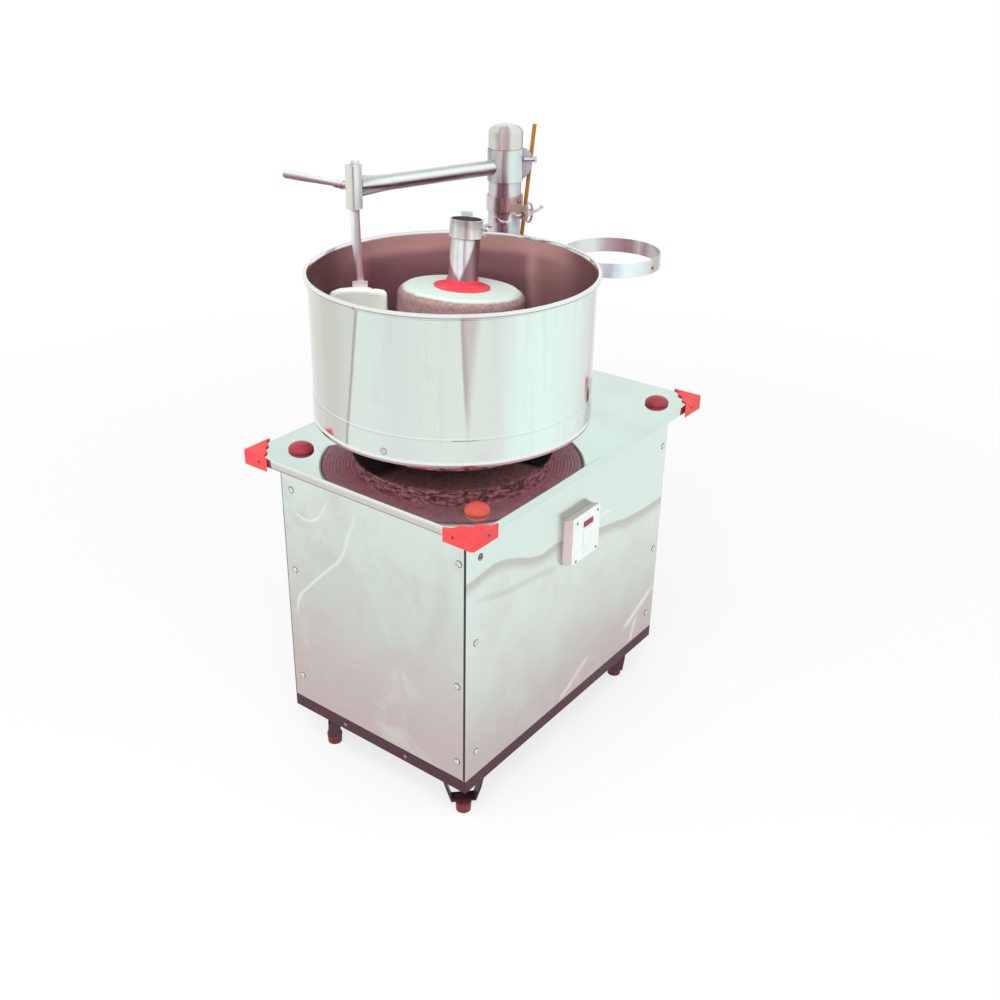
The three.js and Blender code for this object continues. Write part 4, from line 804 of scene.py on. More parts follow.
# The cable gland on the hidden side is a black moulded nut, screwed through the sheet where the
# cable comes in.
gland_plastic = moulded_plastic("gland_plastic", "#2a272c", "#3a3438", 0.5)
dressed("cord_gland", gland_plastic, 0.0005)


# Under the tray the drum's shaft runs in a cast housing and carries the large pulley; the belt goes
# back to the motor. Castings are grey enamel, the shaft is ground steel and the belt black rubber.
def cast_enamel(name, colour, shade, rough=0.5):
    finish, place = bare_finish(name)
    skin = noise(place, 45, 6, 0.6)
    pits = [(0.35, 0.0006, noise(place, 420, 4))]
    return made_up(finish, skin.between(0.35, 0.7).blend(colour, shade), skin * 0.25 + (rough - 0.1), pits)


grey_casting = cast_enamel("grey_casting", "#66757c", "#4f5c64")
raw_casting = cast_enamel("raw_casting", "#6c6266", "#51484c", 0.55)
ground_steel = stainless("ground_steel", "#cfd6d3", "#9a9092", 40.0, 0.25, 0.6)
belt_rubber = moulded_rubber("belt_rubber", "#262429", "#4a4448")
for node, finish, edge in (
    ("bearing_housing", grey_casting, 0.0010), ("drum_pulley", raw_casting, 0.0008),
    ("motor_pulley", raw_casting, 0.0006), ("motor_body", grey_casting, 0.0010),
    ("main_shaft", ground_steel, 0.0006), ("motor_shaft", ground_steel, 0.0005),
    ("drive_belt", belt_rubber, 0.0006), ("hub_plate", raw_casting, 0.0010),
):
    dressed(node, finish, edge)


# The drum is rolled from one strip of stainless steel with a riveted seam, a rolled rim, a shallow
# step and a bead at its foot. It is polished inside and out, and turns on the hub plate.
def toward(bearing):
    """The level direction at this bearing in degrees."""
    return Vector((math.cos(math.radians(bearing)), math.sin(math.radians(bearing)), 0))


shell_low, shell_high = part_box("drum_shell")
# The painted reflection streaks are laid out from this front, the bearing that faces the camera.
face_front = toward(-51.6)
face_side = Vector((-face_front.y, face_front.x, 0))


def turn_round(place, centre, front=face_front, side=face_side):
    """How far round a tube a spot lies, in degrees: 0 at its front, and plus toward its side."""
    off = vector(place, "SUBTRACT", centre)
    ahead = vector(off, "DOT_PRODUCT", front)
    aside = vector(off, "DOT_PRODUCT", side)
    return place.maths("ARCTAN2", aside, ahead) * math.degrees(1)


def streaked(turn, streaks):
    """The long bright and dusky streaks of a polished piece, painted reflection and shade, each given at its
    turn.
    """
    return toned(turn * (1 / 360) + 0.5, {0.5 + at / 360: code for at, code in streaks.items()})


# The streaks round the outside of the drum are painted reflections.
drum_reflection_streaks = {
    -180: "#d3dad4", -150: "#bdb0b1", -140: "#d8e4dd", -104: "#dfeae5", -92: "#c6c4c0",
    -78: "#cbccc6", -50: "#d0d0c9", -43: "#dbe5dd", -34: "#d9e8e1", -21: "#d7e0db", -4: "#d9e6dd",
    12: "#dbe4dd", 18: "#dae5de", 24: "#e0f4eb", 38: "#e4f9f2", 56: "#deefe9", 66: "#d3d9d8",
    72: "#c4b6bd", 76: "#d0cdd1", 80: "#dcdfe2", 96: "#e1efe9", 124: "#dceae4", 134: "#b9a9ac",
    140: "#dbe9e3", 180: "#d3dad4",
}
seam_turn = 148
wall_middle = 0.913
step_shade = 0.7176
step_scuff = 0.7178
step_ridge = 0.7212
bead_edge = (0.6795, 0.6825)
bead_foot = (0.6742, 0.6775)


def drum_outside():
    finish, place = bare_finish("drum_outside")
    high = part(place, "Z")
    wander = noise(place, 6, 2) - 0.5
    turn = turn_round(place, drum_foot) + wander * 1.6
    colour = streaked(turn, drum_reflection_streaks)
    # Each pass lays a dusky line with a duller band beside it, and a wedge of painted reflection with a
    # darker core; the first pass is at the front and the second at the seam's bearing.
    for turned_by in (0, seam_turn):
        here = turn - turned_by
        seam = (high - wall_middle) * 32.5 - 37.4
        left = (wall_middle + 0.001 - high) * 12 + 3.2
        right = (high - wall_middle) * 22 + 10.2
        reflection_wedge = (here - left).between(-0.5, 0.7) * (here - right).fading(-3.0, 1.5)
        core = (here - left).between(-0.4, 0.6) * (here - left).fading(0.6, 2.6)
        colour = colour.under(
            ((seam - here).between(0.0, 1.2) * (here > -60) * 0.5, "#c6c5be"),
            (near(here, seam, 0.1, 1.3) * 0.75, "#a3908f"),
            (reflection_wedge * 0.85, "#c5bab8"),
            (core * (high - 0.72).between(0.0, 0.1) * 0.55, "#ab9a98"),
        )
    hair = noise(vector(place, "MULTIPLY", (60, 60, 4)), 1.2, 3)
    stain = noise(place, 14, 4).between(0.58, 0.8)
    step_dark_mark = near(high, step_scuff, 0.0002, 0.0011) * turn.between(-1.0, 1.0) * turn.fading(8.0, 11.0)
    ridge_highlight = near(high, step_ridge, 0.0003, 0.0018) * (wander + 0.35).between(0.1, 0.5)
    # Over the hairlines and stains go a short dark line on the step near the front, a painted highlight on
    # the step's ridge with painted shade below it, a painted highlight on the rim's roll with two lines of
    # painted shade under it, and a painted highlight on the bead with painted shade at its foot.
    colour = colour.under(
        (hair.between(0.52, 0.75) * 0.14, "#bfb3b2"),
        (step_dark_mark * 0.8, "#6d5a5a"),
        (stain * 0.20, "#c2bab6"),
        (ridge_highlight * 0.6, "#f6fcf8"),
        (near(high, step_shade, 0.0004, 0.0022) * (wander + 0.5) * 0.4, "#b3aaa6"),
        (high.between(shell_high.z - 0.0046, shell_high.z - 0.0034) * 0.85, "#eef4f1"),
        (near(high, shell_high.z - 0.0056, 0.0004, 0.0016) * 0.8, "#a5868c"),
        (near(high, shell_high.z - 0.0100, 0.0005, 0.0018) * 0.75, "#9c8285"),
        (high.fading(*bead_edge) * 0.9, "#eef4f0"),
        (high.fading(*bead_foot) * 0.9, "#b98f99"),
    )
    return made_up(finish, colour, hair * 0.06 + stain * 0.05 + 0.09, [(0.05, 0.0003, hair)], 1.0)


def drum_inside():
    finish, place = bare_finish("drum_inside")
    turn = turn_round(place, drum_foot)
    bent = noise(place, 5, 2, warp=0.8) - 0.5
    # Inside, the streaks round the wall are painted reflection and shade, and the paler band high on the far
    # wall is painted light.
    colour = streaked(turn + bent * 10, {
        -180: "#9a6e76", -168: "#966a70", -156: "#9a6e76", -140: "#8f636a", -134: "#aa7e7e",
        -122: "#946c6c", -112: "#7a5559", -95: "#6f4c50", -60: "#866266", 0: "#9a767a",
        60: "#805c60", 88: "#6a4a4d", 102: "#86605f", 112: "#90666a", 124: "#a87f7e",
        136: "#a47a78", 142: "#c49a96", 146: "#946a72", 180: "#9a6e76",
    })
    past = turn < 0
    band = (part(place, "Z") + bent * 0.02).between(0.882, 0.902)
    band = band * (turn + 360 * past).between(112, 136) * (1 - turn.between(-150, -120) * past)
    hair = noise(vector(place, "MULTIPLY", (2, 2, 60)), 4, 4)
    colour = colour.under((band * 0.85, "#d3a6a1"), (hair.between(0.5, 0.75) * 0.25, "#b08a8e"))
    return made_up(finish, colour, hair * 0.12 + 0.30, [(0.08, 0.0003, hair)], 0.35)


def from_shaft(spot):
    """How far a spot lies from the drum's axis."""
    return Vector((spot.x - drum_foot.x, spot.y - drum_foot.y)).length


shell_outer = 0.2434
shell_inner = 0.2418
rim_outer = (shell_high.x - shell_low.x) / 2
step_height = shell_low.z + 0.045
shell_outline = eased([
    (shell_inner, shell_low.z, 0.0004), (0.2452, shell_low.z, 0.0008),
    (0.2460, shell_low.z + 0.0055, 0.003), (0.2448, shell_low.z + 0.0110, 0.001),
    (shell_outer + 0.0010, step_height - 0.0015, 0.001), (shell_outer, step_height + 0.0015, 0.001),
    (shell_outer, shell_high.z - 0.0100, 0.001),
    (rim_outer - 0.0016, shell_high.z - 0.0090, 0.0022), (rim_outer, shell_high.z - 0.0045, 0.003),
    (rim_outer - 0.0012, shell_high.z, 0.0032), (shell_inner + 0.0025, shell_high.z, 0.0022),
    (shell_inner, shell_high.z - 0.0060, 0.002),
], 0.001, 5)
drum_work = turned(shell_outline, 216, drum_foot)
drum = shaped("drum", drum_work, drum_outside(), "drum", ["drum_shell"], 40)
own_finish(drum, drum_inside(), lambda spot, facing: from_shaft(spot) < shell_inner + 0.0002)

# Three flush rivets hold the drum to its bed near the foot, each in a small ring painted darker as
# the shade of its pressed dimple. They are of the same bright steel as the drum.
drum_rivet = rivet_head("drum_rivet", [
    (0, 0, 0), (0.0052, 0, 0), (0.0050, 0.0009, 0.0003), (0.0034, 0.0003, 0.0003),
    (0.0022, 0.0011, 0.0008), (0, 0.0013, 0),
], 28, stainless("drum_rivet_steel", "#d6d6d2", "#b39da0", 180.0, 0.2, 0.8))
dimple(drum_rivet, 0.0052, stainless("rivet_shade_ring", "#b7989c", "#8d7074", 180.0, 0.3, 0.8))
rivet_out = 0.2446
rivet_high = Vector((0, 0, 0.689))
for count, bearing in enumerate((-78.2, 41.8, 161.8)):
    out = toward(bearing)
    fasten(f"drum_rivet_{count}", drum_rivet, drum_foot + out * rivet_out + rivet_high, out, body="drum")


# The bed of the drum is one granite disc with a raised edge. Its underside is turned down to a boss
# and still shows the rings that the mason's tool left. The stone is a speckled pinkish brown.
def granite(name, deep, mid, light, rings=0.0):
    finish, place = bare_finish(name)
    blots = noise(place, 70, 6, 0.7)
    crystal = place.node("ShaderNodeTexVoronoi", {}, {"Vector": place, "Scale": 330}, "Color")
    sparkle = place.node("ShaderNodeSeparateColor", {}, {"Color": crystal}, "Red")
    colour = toned(blots, {0.32: deep, 0.48: mid, 0.60: mid, 0.72: light}).under(
        (sparkle.between(0.80, 0.95) * 0.55, light),
        ((1 - sparkle).between(0.84, 0.97) * 0.6, deep),
    )
    relief = blots * 0.5 + sparkle * 0.3
    if rings:
        away = vector(vector(place, "MULTIPLY", (1, 1, 0)), "DISTANCE", drum_foot)
        wave = place.maths("SINE", (away + noise(place, 9, 3) * 0.006) * rings) * 0.5 + 0.5
        # Toward the edge of the underside the stone is painted paler as light; the tool's rings lie over it.
        colour = colour.under(
            (away.between(0.180, 0.238) * 0.4, light),
            (wave.between(0.62, 0.95) * 0.6, deep),
        )
        relief = relief + wave * 0.9
    return made_up(finish, colour, blots * 0.25 + 0.6, [(0.5, 0.0012, relief)])


def chiselled_granite():
    """The boss of the bed was dressed with a chisel, and dark broken cracks run round it. Its stone is
    painted far paler, as light.
    """
    finish, place = bare_finish("boss_granite")
    push = {0: noise(place, 40, 5, output="Color"), 1: (0.02, 0.02, 0.02), 2: place}
    pushed = place.node("ShaderNodeVectorMath", {"operation": "MULTIPLY_ADD"}, push)
    flakes = {"Vector": vector(pushed, "MULTIPLY", (22, 22, 110)), "Scale": 1}
    split = place.node("ShaderNodeTexVoronoi", {"feature": "DISTANCE_TO_EDGE"}, flakes, "Distance")
    crack = split.fading(0.02, 0.16)
    blots = noise(place, 120, 6, 0.7)
    colour = blots.between(0.38, 0.62).blend("#b8606f", "#ffa5b4").under((crack * 0.85, "#2b171c"))
    relief = blots * 0.4 - crack * 0.8
    return made_up(finish, colour, blots * 0.2 + 0.65, [(0.6, 0.0015, relief)])


def shaded_boss_granite():
    """The flat under the boss: painted shade, near black, round its back and sides, and painted light across
    its front.
    """
    finish, place = bare_finish("boss_painted_shade")
    blots = noise(place, 90, 6, 0.7)
    colour = streaked(turn_round(place, drum_foot), {
        -180: "#3d262a", -46: "#4a2a30", -40: "#b8747e", 0: "#d98a95", 40: "#f09aa6", 56: "#f09aa6",
        60: "#140c0d", 100: "#3d262a", 180: "#3d262a",
    }).under((blots.between(0.45, 0.65) * 0.5, "#6a474e"))
    return made_up(finish, colour, blots * 0.2 + 0.65, [(0.4, 0.001, blots)])


bed_granite = granite("bed_granite", "#4b343c", "#7d5b65", "#a48790")
# The underside is a much paler copy of the bed's stone, painted as light.
lit_under_granite = granite("lit_under_granite", "#b25f74", "#ff9db3", "#ffc5d8", 1050.0)
bed_low, bed_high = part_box("bed_stone")
bed_radius = 0.2415
boss_radius = 0.182
bed_top = bed_high.z - 0.007
bed_under = shell_low.z + 0.0003
bed_outline = eased([
    (0, bed_low.z, 0), (boss_radius, bed_low.z, 0.004), (boss_radius, bed_under, 0.003),
    (bed_radius, bed_under, 0.003), (bed_radius, bed_high.z, 0.001), (bed_radius - 0.010, bed_top, 0.006),
    (0, bed_top, 0),
], 0.002, 5)
bed_work = turned(bed_outline, 192, drum_foot)
bed = shaped("bed", bed_work, bed_granite, "drum", ["bed_stone"], 40)
own_finish(bed, lit_under_granite, lambda spot, facing: spot.z < bed_under + 0.0001 and facing.z < -0.5)
own_finish(bed, chiselled_granite(), lambda spot, facing: spot.z < bed_under - 0.001)
boss_shade_top = bed_low.z + 0.0015
own_finish(bed, shaded_boss_granite(), lambda spot, facing: spot.z < boss_shade_top and from_shaft(spot) < boss_radius)


# The roller is a granite cone that leans and runs on the bed. A red moulded flange is let into its
# top, and a bright steel sleeve with a banded open mouth stands in it, which the yoke bar holds.
def repaint(finish, mask, colour):
    """Lays one more colour over a finish that is already made up."""
    base = finish.node_tree.nodes["Principled BSDF"].inputs["Base Color"]
    under = Wire(finish.node_tree, base.links[0].from_socket)
    under.plug(base, mask.blend(under, colour))


roller_foot = Vector((-0.061, -0.0015, 0.7556))
roller_lean = math.radians(6.3)
roller_set = Matrix.Translation(roller_foot) @ Matrix.Rotation(-roller_lean, 4, "X")
roller_tall = 0.105
roller_axis = (roller_set.to_3x3() @ Vector((0, 0, 1))).normalized()
roller_granite = granite("roller_granite", "#8e6b6a", "#ad8d8c", "#cab5b0")
roller_place = where(roller_granite.node_tree)
roller_high = vector(vector(roller_place, "SUBTRACT", roller_foot), "DOT_PRODUCT", roller_axis)
roller_highlight_level = roller_high + (noise(roller_place, 30, 5) - 0.5) * 0.005
# The top of the roller and its rounded shoulder are painted pale green as a highlight.
repaint(roller_granite, roller_highlight_level.between(roller_tall - 0.0066, roller_tall - 0.0026) * 0.92, "#dcefe4")
roller_work = turned(eased([
    (0, 0, 0), (0.106, 0, 0.009), (0.1142, 0.030, 0.02), (0.1147, 0.060, 0.02),
    (0.1147, roller_tall - 0.010, 0.014), (0.100, roller_tall, 0.014), (0.097, roller_tall, 0.002),
    (0, roller_tall, 0),
], 0.002, 6), 144)
bmesh.ops.transform(roller_work, matrix=roller_set, verts=roller_work.verts)
shaped("roller", roller_work, roller_granite, "roller", ["roller_stone"], 60)
dressed("roller_flange", moulded_plastic("flange_plastic", "#f2505f", "#dc3c50", 0.32))


def polished(name, centre, bright, streaks, front=face_front, side=face_side, rough=0.16, foot=None):
    """Bright plated tube whose long streaks are painted reflections; a foot is a height, a fade and the
    streaks below it.
    """
    finish, place = bare_finish(name)
    wander = noise(place, 14, 2) - 0.5
    turn = turn_round(place, centre, front, side) + wander * 9
    colour = streaked(turn, streaks)
    if foot:
        top, fade, low_streaks = foot
        high = part(place, "Z") + wander * 0.012
        colour = high.fading(top - fade, top).blend(colour, streaked(turn, low_streaks))
    smear = noise(place, 70, 4).between(0.52, 0.78)
    colour = colour.under((smear * 0.2, "#bda9ae"))
    return made_up(finish, colour, smear * 0.10 + rough, [(0.06, 0.0002, smear)], bright)


sleeve_foot = stands_at("roller_sleeve")
# The sleeve's streaks are painted reflections.
sleeve_steel = polished("sleeve_steel", sleeve_foot, 0.12, {
    -180: "#e5eeed", -120: "#b9a9ad", -90: "#b59b9d", -62: "#e6dcda", -48: "#e0e4e2",
    -38: "#f6fffd", -28: "#dfeaea", -15: "#f4fffe", -6: "#f2edf3", -1: "#b3a3b0", 4: "#d9d0d7",
    14: "#f6fefc", 22: "#f6fffc", 32: "#f3fdfa", 40: "#e9e2e4", 49: "#a5888d", 64: "#8f6d70",
    90: "#85666a", 130: "#c5b8ba", 180: "#d5dedd",
})
sleeve_place = where(sleeve_steel.node_tree)
sleeve_high = part(sleeve_place, "Z")
sleeve_turn = turn_round(sleeve_place, sleeve_foot)
# A V of darker painted reflection streaks is laid over the sleeve's front as painted shade.
shade_right = (sleeve_turn - (sleeve_high - 0.942) * 970 - 45).between(-9, 6)
shade_left = ((0.900 - sleeve_high) * 1700 - 52 - sleeve_turn).between(-10, 10)
sleeve_shade = sleeve_place.maths("MAXIMUM", shade_right, shade_left)
sleeve_shade = sleeve_shade * sleeve_turn.fading(110, 130) * sleeve_turn.between(-130, -110)
repaint(sleeve_steel, sleeve_shade * 0.92, streaked(sleeve_turn, {
    -180: "#b08f98", -70: "#8f6974", -45: "#a37a88", -20: "#8f6470", 5: "#8a626c", 25: "#a07a84",
    50: "#80595f", 80: "#64464b", 180: "#b08f98",
}))
# The mouth's streaks are painted reflections.
mouth_steel = polished("mouth_steel", stands_at("sleeve_mouth"), 0.25, {
    -180: "#e2efea", -150: "#e2efea", -110: "#b4abab", -80: "#bbbcb7", -58: "#b9bab5",
    -42: "#e4e3df", -30: "#c8c7c3", -12: "#c6c0be", -2: "#9f8d8f", 8: "#d2bfc1", 16: "#f2e6e6",
    28: "#d6d0ce", 40: "#dbe0d9", 58: "#c8d2ca", 76: "#c1b1b2", 100: "#cdc5c3", 150: "#e2efea",
    180: "#e2efea",
})


def core_shade_and_highlight(finish, foot, axis, reach, top, share, code):
    """Lays painted shade or a painted highlight over a tube near its axis: full inside the first reach, none
    past the second.
    """
    off = vector(where(finish.node_tree), "SUBTRACT", foot)
    away = vector(vector(off, "CROSS_PRODUCT", axis), "LENGTH")
    high = vector(off, "DOT_PRODUCT", axis)
    repaint(finish, away.fading(*reach) * high.fading(top - 0.0002, top) * share, code)


mouth_top = 0.2252
# The inside of the sleeve's mouth is painted dark as shade.
core_shade_and_highlight(sleeve_steel, roller_foot, roller_axis, (0.0255, 0.0261), mouth_top, 0.9, "#4d2f35")
core_shade_and_highlight(mouth_steel, roller_foot, roller_axis, (0.0269, 0.0275), mouth_top, 0.9, "#4d2f35")
dressed("roller_sleeve", sleeve_steel, 0.0005)
dressed("sleeve_mouth", mouth_steel, 0.0005)

# The post is a polished tube welded to a round foot. A deep-drawn cap closes it, and the collars
# below carry the yoke bar with its loop nut, the brown side rod and the band ring.
post_foot = stands_at("post_cap")
post_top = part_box("post_cap")[1].z
# The post, cap, lower collar and ring carry long streaks that are painted reflections.
post_steel = polished("post_steel", post_foot, 0.4, {
    -180: "#c4cbc8", -155: "#8f7079", -128: "#d3dad6", -90: "#bfc1c0", -44: "#d2d3d1",
    -31: "#bba8ac", -25: "#85666e", -17: "#966e77", -9: "#7c4f59", -2: "#9a727b", 5: "#967d83",
    10: "#b2a9ae", 16: "#d8dcdf", 36: "#d3dfdf", 58: "#c3bcc8", 75: "#beaebb", 90: "#c9b6bd",
    130: "#d6dfdc", 155: "#94767f", 180: "#c4cbc8",
})
cap_steel = polished("cap_steel", post_foot, 0.8, {
    -180: "#cfcfc7", -120: "#b9aeae", -90: "#c3c3bd", -44: "#d3d3cb", -29: "#c9bebd",
    -25: "#a29596", -20: "#c9bdbb", -6: "#bcaaaa", 4: "#b3a1a1", 10: "#c9bebc", 16: "#dcddd7",
    50: "#dadbd3", 66: "#cbc6c2", 78: "#a9a4a2", 96: "#d3d3cb", 180: "#cfcfc7",
})
collar_steel = polished("collar_steel", post_foot, 0.35, {
    -180: "#c8c8c8", -90: "#d6dcda", -60: "#c8c9c9", -38: "#d0c9cb", -28: "#917478", -20: "#765256",
    -10: "#936a6e", 0: "#8e6667", 8: "#c09e9c", 24: "#c7aca3", 44: "#ad8b82", 60: "#886760",
    90: "#a58a85", 180: "#c8c8c8",
})
# The cap's dome is painted paler near its middle as a highlight.
core_shade_and_highlight(cap_steel, post_foot, Vector((0, 0, 1)), (0.006, 0.024), post_top + 0.001, 0.85, "#dfe2da")
ring_foot = stands_at("rest_ring")
ring_steel = polished("ring_steel", ring_foot, 0.25, {
    -180: "#b49fa8", -172: "#c9c4c6", -166: "#d8e1e0", -150: "#dce0dd", -135: "#d0d6d3",
    -90: "#d9e0dc", -40: "#d6dddb", -26: "#c6b4bb", -20: "#ebdbe0", -16: "#d2ccd5", -8: "#b5b3bc",
    -3: "#cbd2d6", 9: "#dff1f0", 28: "#daebea", 44: "#cfd6d3", 52: "#bfb5b6", 67: "#b9aeb2",
    93: "#bcb1b5", 113: "#c6b9bb", 120: "#b8a6a9", 127: "#a48b90", 134: "#c2b1b4", 138: "#d0c3c5",
    143: "#b89da1", 147: "#a37c80", 156: "#a1777f", 169: "#ab8f96", 180: "#b49fa8",
})
wire_steel = stainless("wire_steel", "#e2d9da", "#9c7f87", 55.0, 0.18, 0.75)
for node, finish, edge in (
    ("post_tube", post_steel, 0.0006), ("post_cap", cap_steel, 0.0006),
    ("lower_collar", collar_steel, 0.0006),
    ("yoke_bar", wire_steel, 0.0004), ("wing_nut", wire_steel, 0.0004),
    ("side_rod", moulded_plastic("brown_lacquer", "#b8772c", "#94581c", 0.3), 0.0004),
    ("rest_ring", ring_steel, 0.0005), ("ring_bracket", wire_steel, 0.0005),
):
    dressed(node, finish, edge)
tarnished = stainless("tarnished", "#c39a88", "#6f4640", 260.0, 0.3, 0.6)
for name, radius, centre, height, reach, bearing, body in (
    ("collar_bolt", 0.0046, post_foot, 0.9771, 0.0341, -1.0, "stand"),
    ("ring_bolt", 0.0036, ring_foot, 0.8772, 0.0909, -2.8, "ring"),
):
    out = toward(bearing)
    bolt = screw_head(name, radius, radius * 0.8, tarnished)
    fasten(name, bolt, Vector((centre.x, centre.y, height)) + out * reach, out, body=body)

# The arm is a tube welded to a sleeve that turns on the post; its far end is drawn out flat into a
# square holder, where a long clamp screw grips the scraper's stem.
# The arm sleeve's streaks are painted reflections.
arm_sleeve_steel = polished("arm_sleeve_steel", post_foot, 0.6, {
    -180: "#b6b4b4", -130: "#d3dcda", -90: "#a0969b", -62: "#a29c9e", -42: "#bcbdbf",
    -22: "#bfbbba", -16: "#cebbbd", -10: "#9d8087", -2: "#ab9799", 4: "#bdb7b7", 10: "#d5dfde",
    24: "#d8ebe9", 44: "#d2e0e0", 62: "#dadfe3", 70: "#c8c3c9", 80: "#a294a0", 88: "#c3b9c9",
    110: "#cbc0ce", 130: "#c9c0c4", 180: "#b6b4b4",
})
dressed("arm_sleeve", arm_sleeve_steel)
dressed("arm_lock_bolt", wire_steel, 0.0004)
holder_middle = middle("stem_holder")
arm_heading = Vector((holder_middle.x - post_foot.x, holder_middle.y - post_foot.y, 0)).normalized()
arm_front = Vector((arm_heading.y, -arm_heading.x, 0))
arm_front = arm_front if arm_front.dot(face_front) > 0 else -arm_front
# The painted reflections on the arm and the clamp handle face a front tilted up by this much.
reflection_tilt = math.radians(27)
reflection_rise = Vector((0, 0, math.sin(reflection_tilt)))
arm_front = (arm_front * math.cos(reflection_tilt) + reflection_rise).normalized()
arm_under = arm_heading.cross(arm_front)
arm_under = arm_under if arm_under.z < 0 else -arm_under
# The arm's streaks are painted reflections, with a dark band of painted shade along its underside.
arm_steel = polished("arm_steel", middle("arm_tube"), 0.45, {
    -180: "#b3959d", -140: "#c2a9af", -110: "#cfc9cb", -80: "#d6d6d6", -58: "#c9c6c8",
    -42: "#b5b2b4", -32: "#bcc0c1", -23: "#d3dcdb", -12: "#e2f1ee", 6: "#e0eeec", 14: "#d6dadb",
    22: "#bfb2b7", 30: "#8f767c", 38: "#6f4d55", 50: "#6a4850", 60: "#8f757b", 72: "#b6a6aa",
    90: "#c2b2b5", 130: "#9a7d85", 180: "#b3959d",
}, arm_front, arm_under)
dressed("arm_tube", arm_steel)

# The long clamp screw has a turned grip that swells toward its tip, two small collars and a boss
# where it goes into the holder. It is plated, with painted reflections bright on top and dusky below.
handle_front = Vector((0, -math.cos(reflection_tilt), math.sin(reflection_tilt)))
handle_under = Vector((0, -math.sin(reflection_tilt), -math.cos(reflection_tilt)))
handle_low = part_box("stem_clamp_screw")[0]
handle_line = middle("stem_clamp_screw")
holder_low, holder_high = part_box("stem_holder")
handle_long = holder_low.x - handle_low.x
handle_steel = polished("handle_steel", handle_line, 0.3, {
    -180: "#a5868f", -120: "#c3b7bd", -80: "#bdb6ba", -60: "#d6dedc", -35: "#dbe6e3",
    -14: "#d3dbd9", -4: "#cfc8cc", 6: "#b9979f", 20: "#9d7681", 45: "#7d515d", 60: "#835965",
    75: "#a8858e", 110: "#b3969e", 180: "#a5868f",
}, handle_front, handle_under, 0.2)
handle_work = turned(eased([
    (0, -0.003, 0), (0.0062, -0.003, 0), (0.0084, 0.0002, 0.0002), (0.0080, 0.0045, 0.0008),
    (0.0052, 0.0070, 0.0012), (0.0050, 0.0130, 0.0008), (0.0074, 0.0140, 0.0006),
    (0.0076, 0.0220, 0.0008), (0.0058, 0.0230, 0.0006), (0.0058, 0.0246, 0.0004),
    (0.0070, 0.0256, 0.0006), (0.0070, 0.0330, 0.0010), (0.0052, 0.0350, 0.0010),
    (0.0052, 0.0400, 0.002), (0.0062, 0.0800, 0.010),
    (0.0074, 0.1150, 0.010), (0.0076, handle_long, 0.0012), (0, handle_long, 0),
], 0.001), 48)
handle_end = Matrix.Translation((holder_low.x, handle_line.y, handle_line.z))
handle_set = handle_end @ Matrix.Rotation(-math.pi / 2, 4, "Y")
bmesh.ops.transform(handle_work, matrix=handle_set, verts=handle_work.verts)
shaped("clamp_handle", handle_work, handle_steel, "clamp_screw", ["stem_clamp_screw"], 50)

# The square holder is folded from plate. The stem's square bar stands in it, and two small ears on
# the bar's end keep it from dropping through when the screw is slack.
# The holder's streaks are painted reflections.
holder_steel = polished("holder_steel", holder_middle, 0.3, {
    -180: "#c6bcbc", -130: "#d0cdca", -90: "#d3d0cb", -60: "#d6d8d1", -30: "#d3d6cd",
    -12: "#c8c8c2", -4: "#ae969d", 3: "#a98f98", 8: "#dfdedd", 18: "#ebfaf5", 36: "#e6f3ef",
    50: "#e2ebe8", 66: "#cfcbcd", 90: "#c9cdcd", 130: "#bfb4b6", 180: "#c6bcbc",
}, rough=0.2)
dressed("stem_holder", holder_steel)
holder_foot = stands_at("stem_holder")
bar_half = 0.0085
bar_ease = 0.0006
bar_top = holder_high.z + 0.0004
bar_rings = []
for half, corner, height in (
    (bar_half, 0.0012, holder_high.z - 0.014), (bar_half, 0.0012, bar_top - bar_ease),
    (bar_half - bar_ease, 0.0010, bar_top),
):
    bar_rings.append([point + holder_foot for point in rounded_ring(half, half, corner, height, 16)])
bar_steel = stainless("bar_steel", "#d6e2dd", "#a58f96", 60.0, 0.25, 0.7, metal=0.5)
shaped("stem_bar_end", skinned(capped(bar_rings)), bar_steel, "scraper")
ear_half = 0.0012
for name, out_x, out_y, wide in (("near", 0.0006, -0.0010, 0.0042), ("far", 0.0066, 0.0052, 0.0026)):
    ear = eased([
        (-wide, -0.001, 0), (wide, -0.001, 0), (wide, 0.0052, 0.0018), (wide * 0.3, 0.0070, 0.001),
        (-wide * 0.3, 0.0070, 0.001), (-wide, 0.0050, 0.0018),
    ], 0)
    faces = []
    for push in (ear_half, -ear_half):
        spot = Vector((holder_middle.x + out_x, holder_middle.y + out_y, bar_top)) + face_front * push
        faces.append([spot + face_side * along + Vector((0, 0, tall)) for along, tall in ear])
    shaped("stem_ear_" + name, skinned(capped(faces)), bar_steel, "scraper")
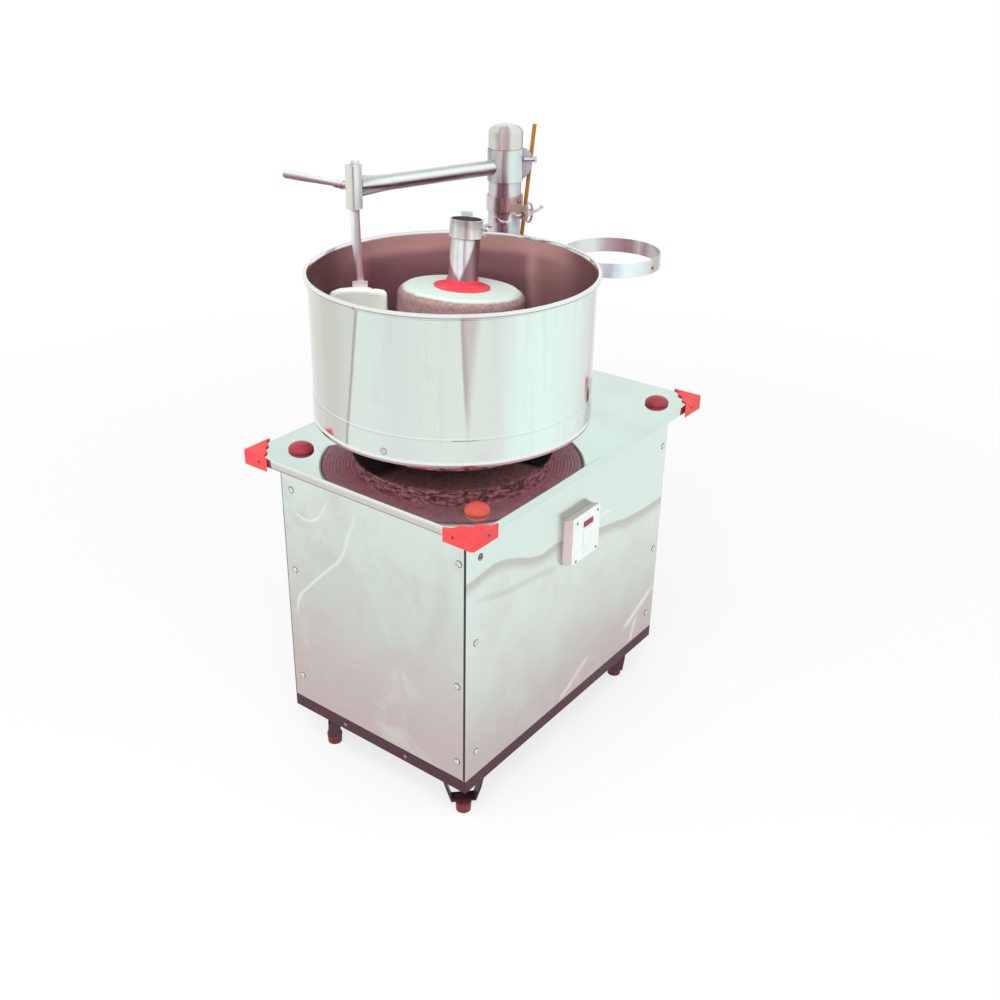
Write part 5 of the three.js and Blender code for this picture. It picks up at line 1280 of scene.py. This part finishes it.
# The stem's streaks are painted reflections, and below the foot height they turn to darker painted shade.
stem_steel = polished("stem_steel", holder_foot, 0.12, {
    -180: "#c5b9bd", -110: "#e9ecec", -70: "#f4fcfe", -46: "#ebf5f6", -24: "#ecf0f1",
    -12: "#e6e4e7", 0: "#dcd5da", 10: "#cbc0c5", 24: "#d6cbd0", 36: "#c6b9be", 50: "#ab9aa0",
    68: "#bcb0b2", 90: "#d8ccd0", 180: "#c5b9bd",
}, foot=(0.945, 0.05, {
    -180: "#a37d85", -90: "#a8828a", -40: "#9a727b", -15: "#b18a93", 10: "#cba1aa", 30: "#d8b0b8",
    60: "#b38a92", 90: "#a8828a", 180: "#a37d85",
}))
stem_tongue = part(where(stem_steel.node_tree), "Z").fading(0.872, 0.884)
repaint(stem_steel, stem_tongue * 0.8, "#e6dde1")
dressed("scraper_stem", stem_steel, 0.0005)

# The scraper's paddle is one thick soft-edged plate of pale food plastic, a little dished by use,
# with a nick in its top edge beside the steel tongue that holds it.
paddle_low, paddle_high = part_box("scraper_paddle")
paddle_middle = middle("scraper_paddle")
paddle_wide = 0.0515
paddle_tall = (paddle_high.z - paddle_low.z) / 2
paddle_edge = eased([
    (-paddle_wide, -paddle_tall, 0.014), (paddle_wide, -paddle_tall, 0.010),
    (paddle_wide, paddle_tall * 0.90, 0.030), (paddle_wide * 0.58, paddle_tall * 0.955, 0.005),
    (paddle_wide * 0.50, paddle_tall * 0.930, 0.004),
    (paddle_wide * 0.42, paddle_tall * 0.990, 0.004), (-paddle_wide * 0.20, paddle_tall, 0.02),
    (-paddle_wide * 0.62, paddle_tall * 0.965, 0.02), (-paddle_wide, paddle_tall * 0.84, 0.024),
], 0.01, 8)
paddle_rings = []
for inset, depth in (
    (0.0, 0.0042), (0.35, 0.0046), (0.62, 0.0056), (0.80, 0.0069), (0.885, 0.0075), (0.935, 0.0071),
    (0.970, 0.0058), (0.991, 0.0035), (1.0, 0.0008), (1.0, -0.0015), (0.990, -0.0045),
    (0.965, -0.0065), (0.92, -0.0074), (0.86, -0.0075), (0.5, -0.0075), (0.0, -0.0075),
):
    if inset == 0.0:
        paddle_rings.append([paddle_middle + face_front * depth])
        continue
    ring = []
    for along, tall in paddle_edge:
        edge = max(abs(along) / paddle_wide, abs(tall) / paddle_tall)
        pull = inset if inset > 0.9 else inset * (0.97 + 0.03 * edge)
        spot = paddle_middle + face_side * (along * pull) + face_front * depth
        ring.append(spot + Vector((0, 0, tall * pull)))
    paddle_rings.append(ring)
paddle_plastic = moulded_plastic("paddle_plastic", "#f8fff4", "#eaf6e2", 0.5, 240.0)
shaped("paddle", skinned(paddle_rings), paddle_plastic, "scraper", ["scraper_paddle"], 50)
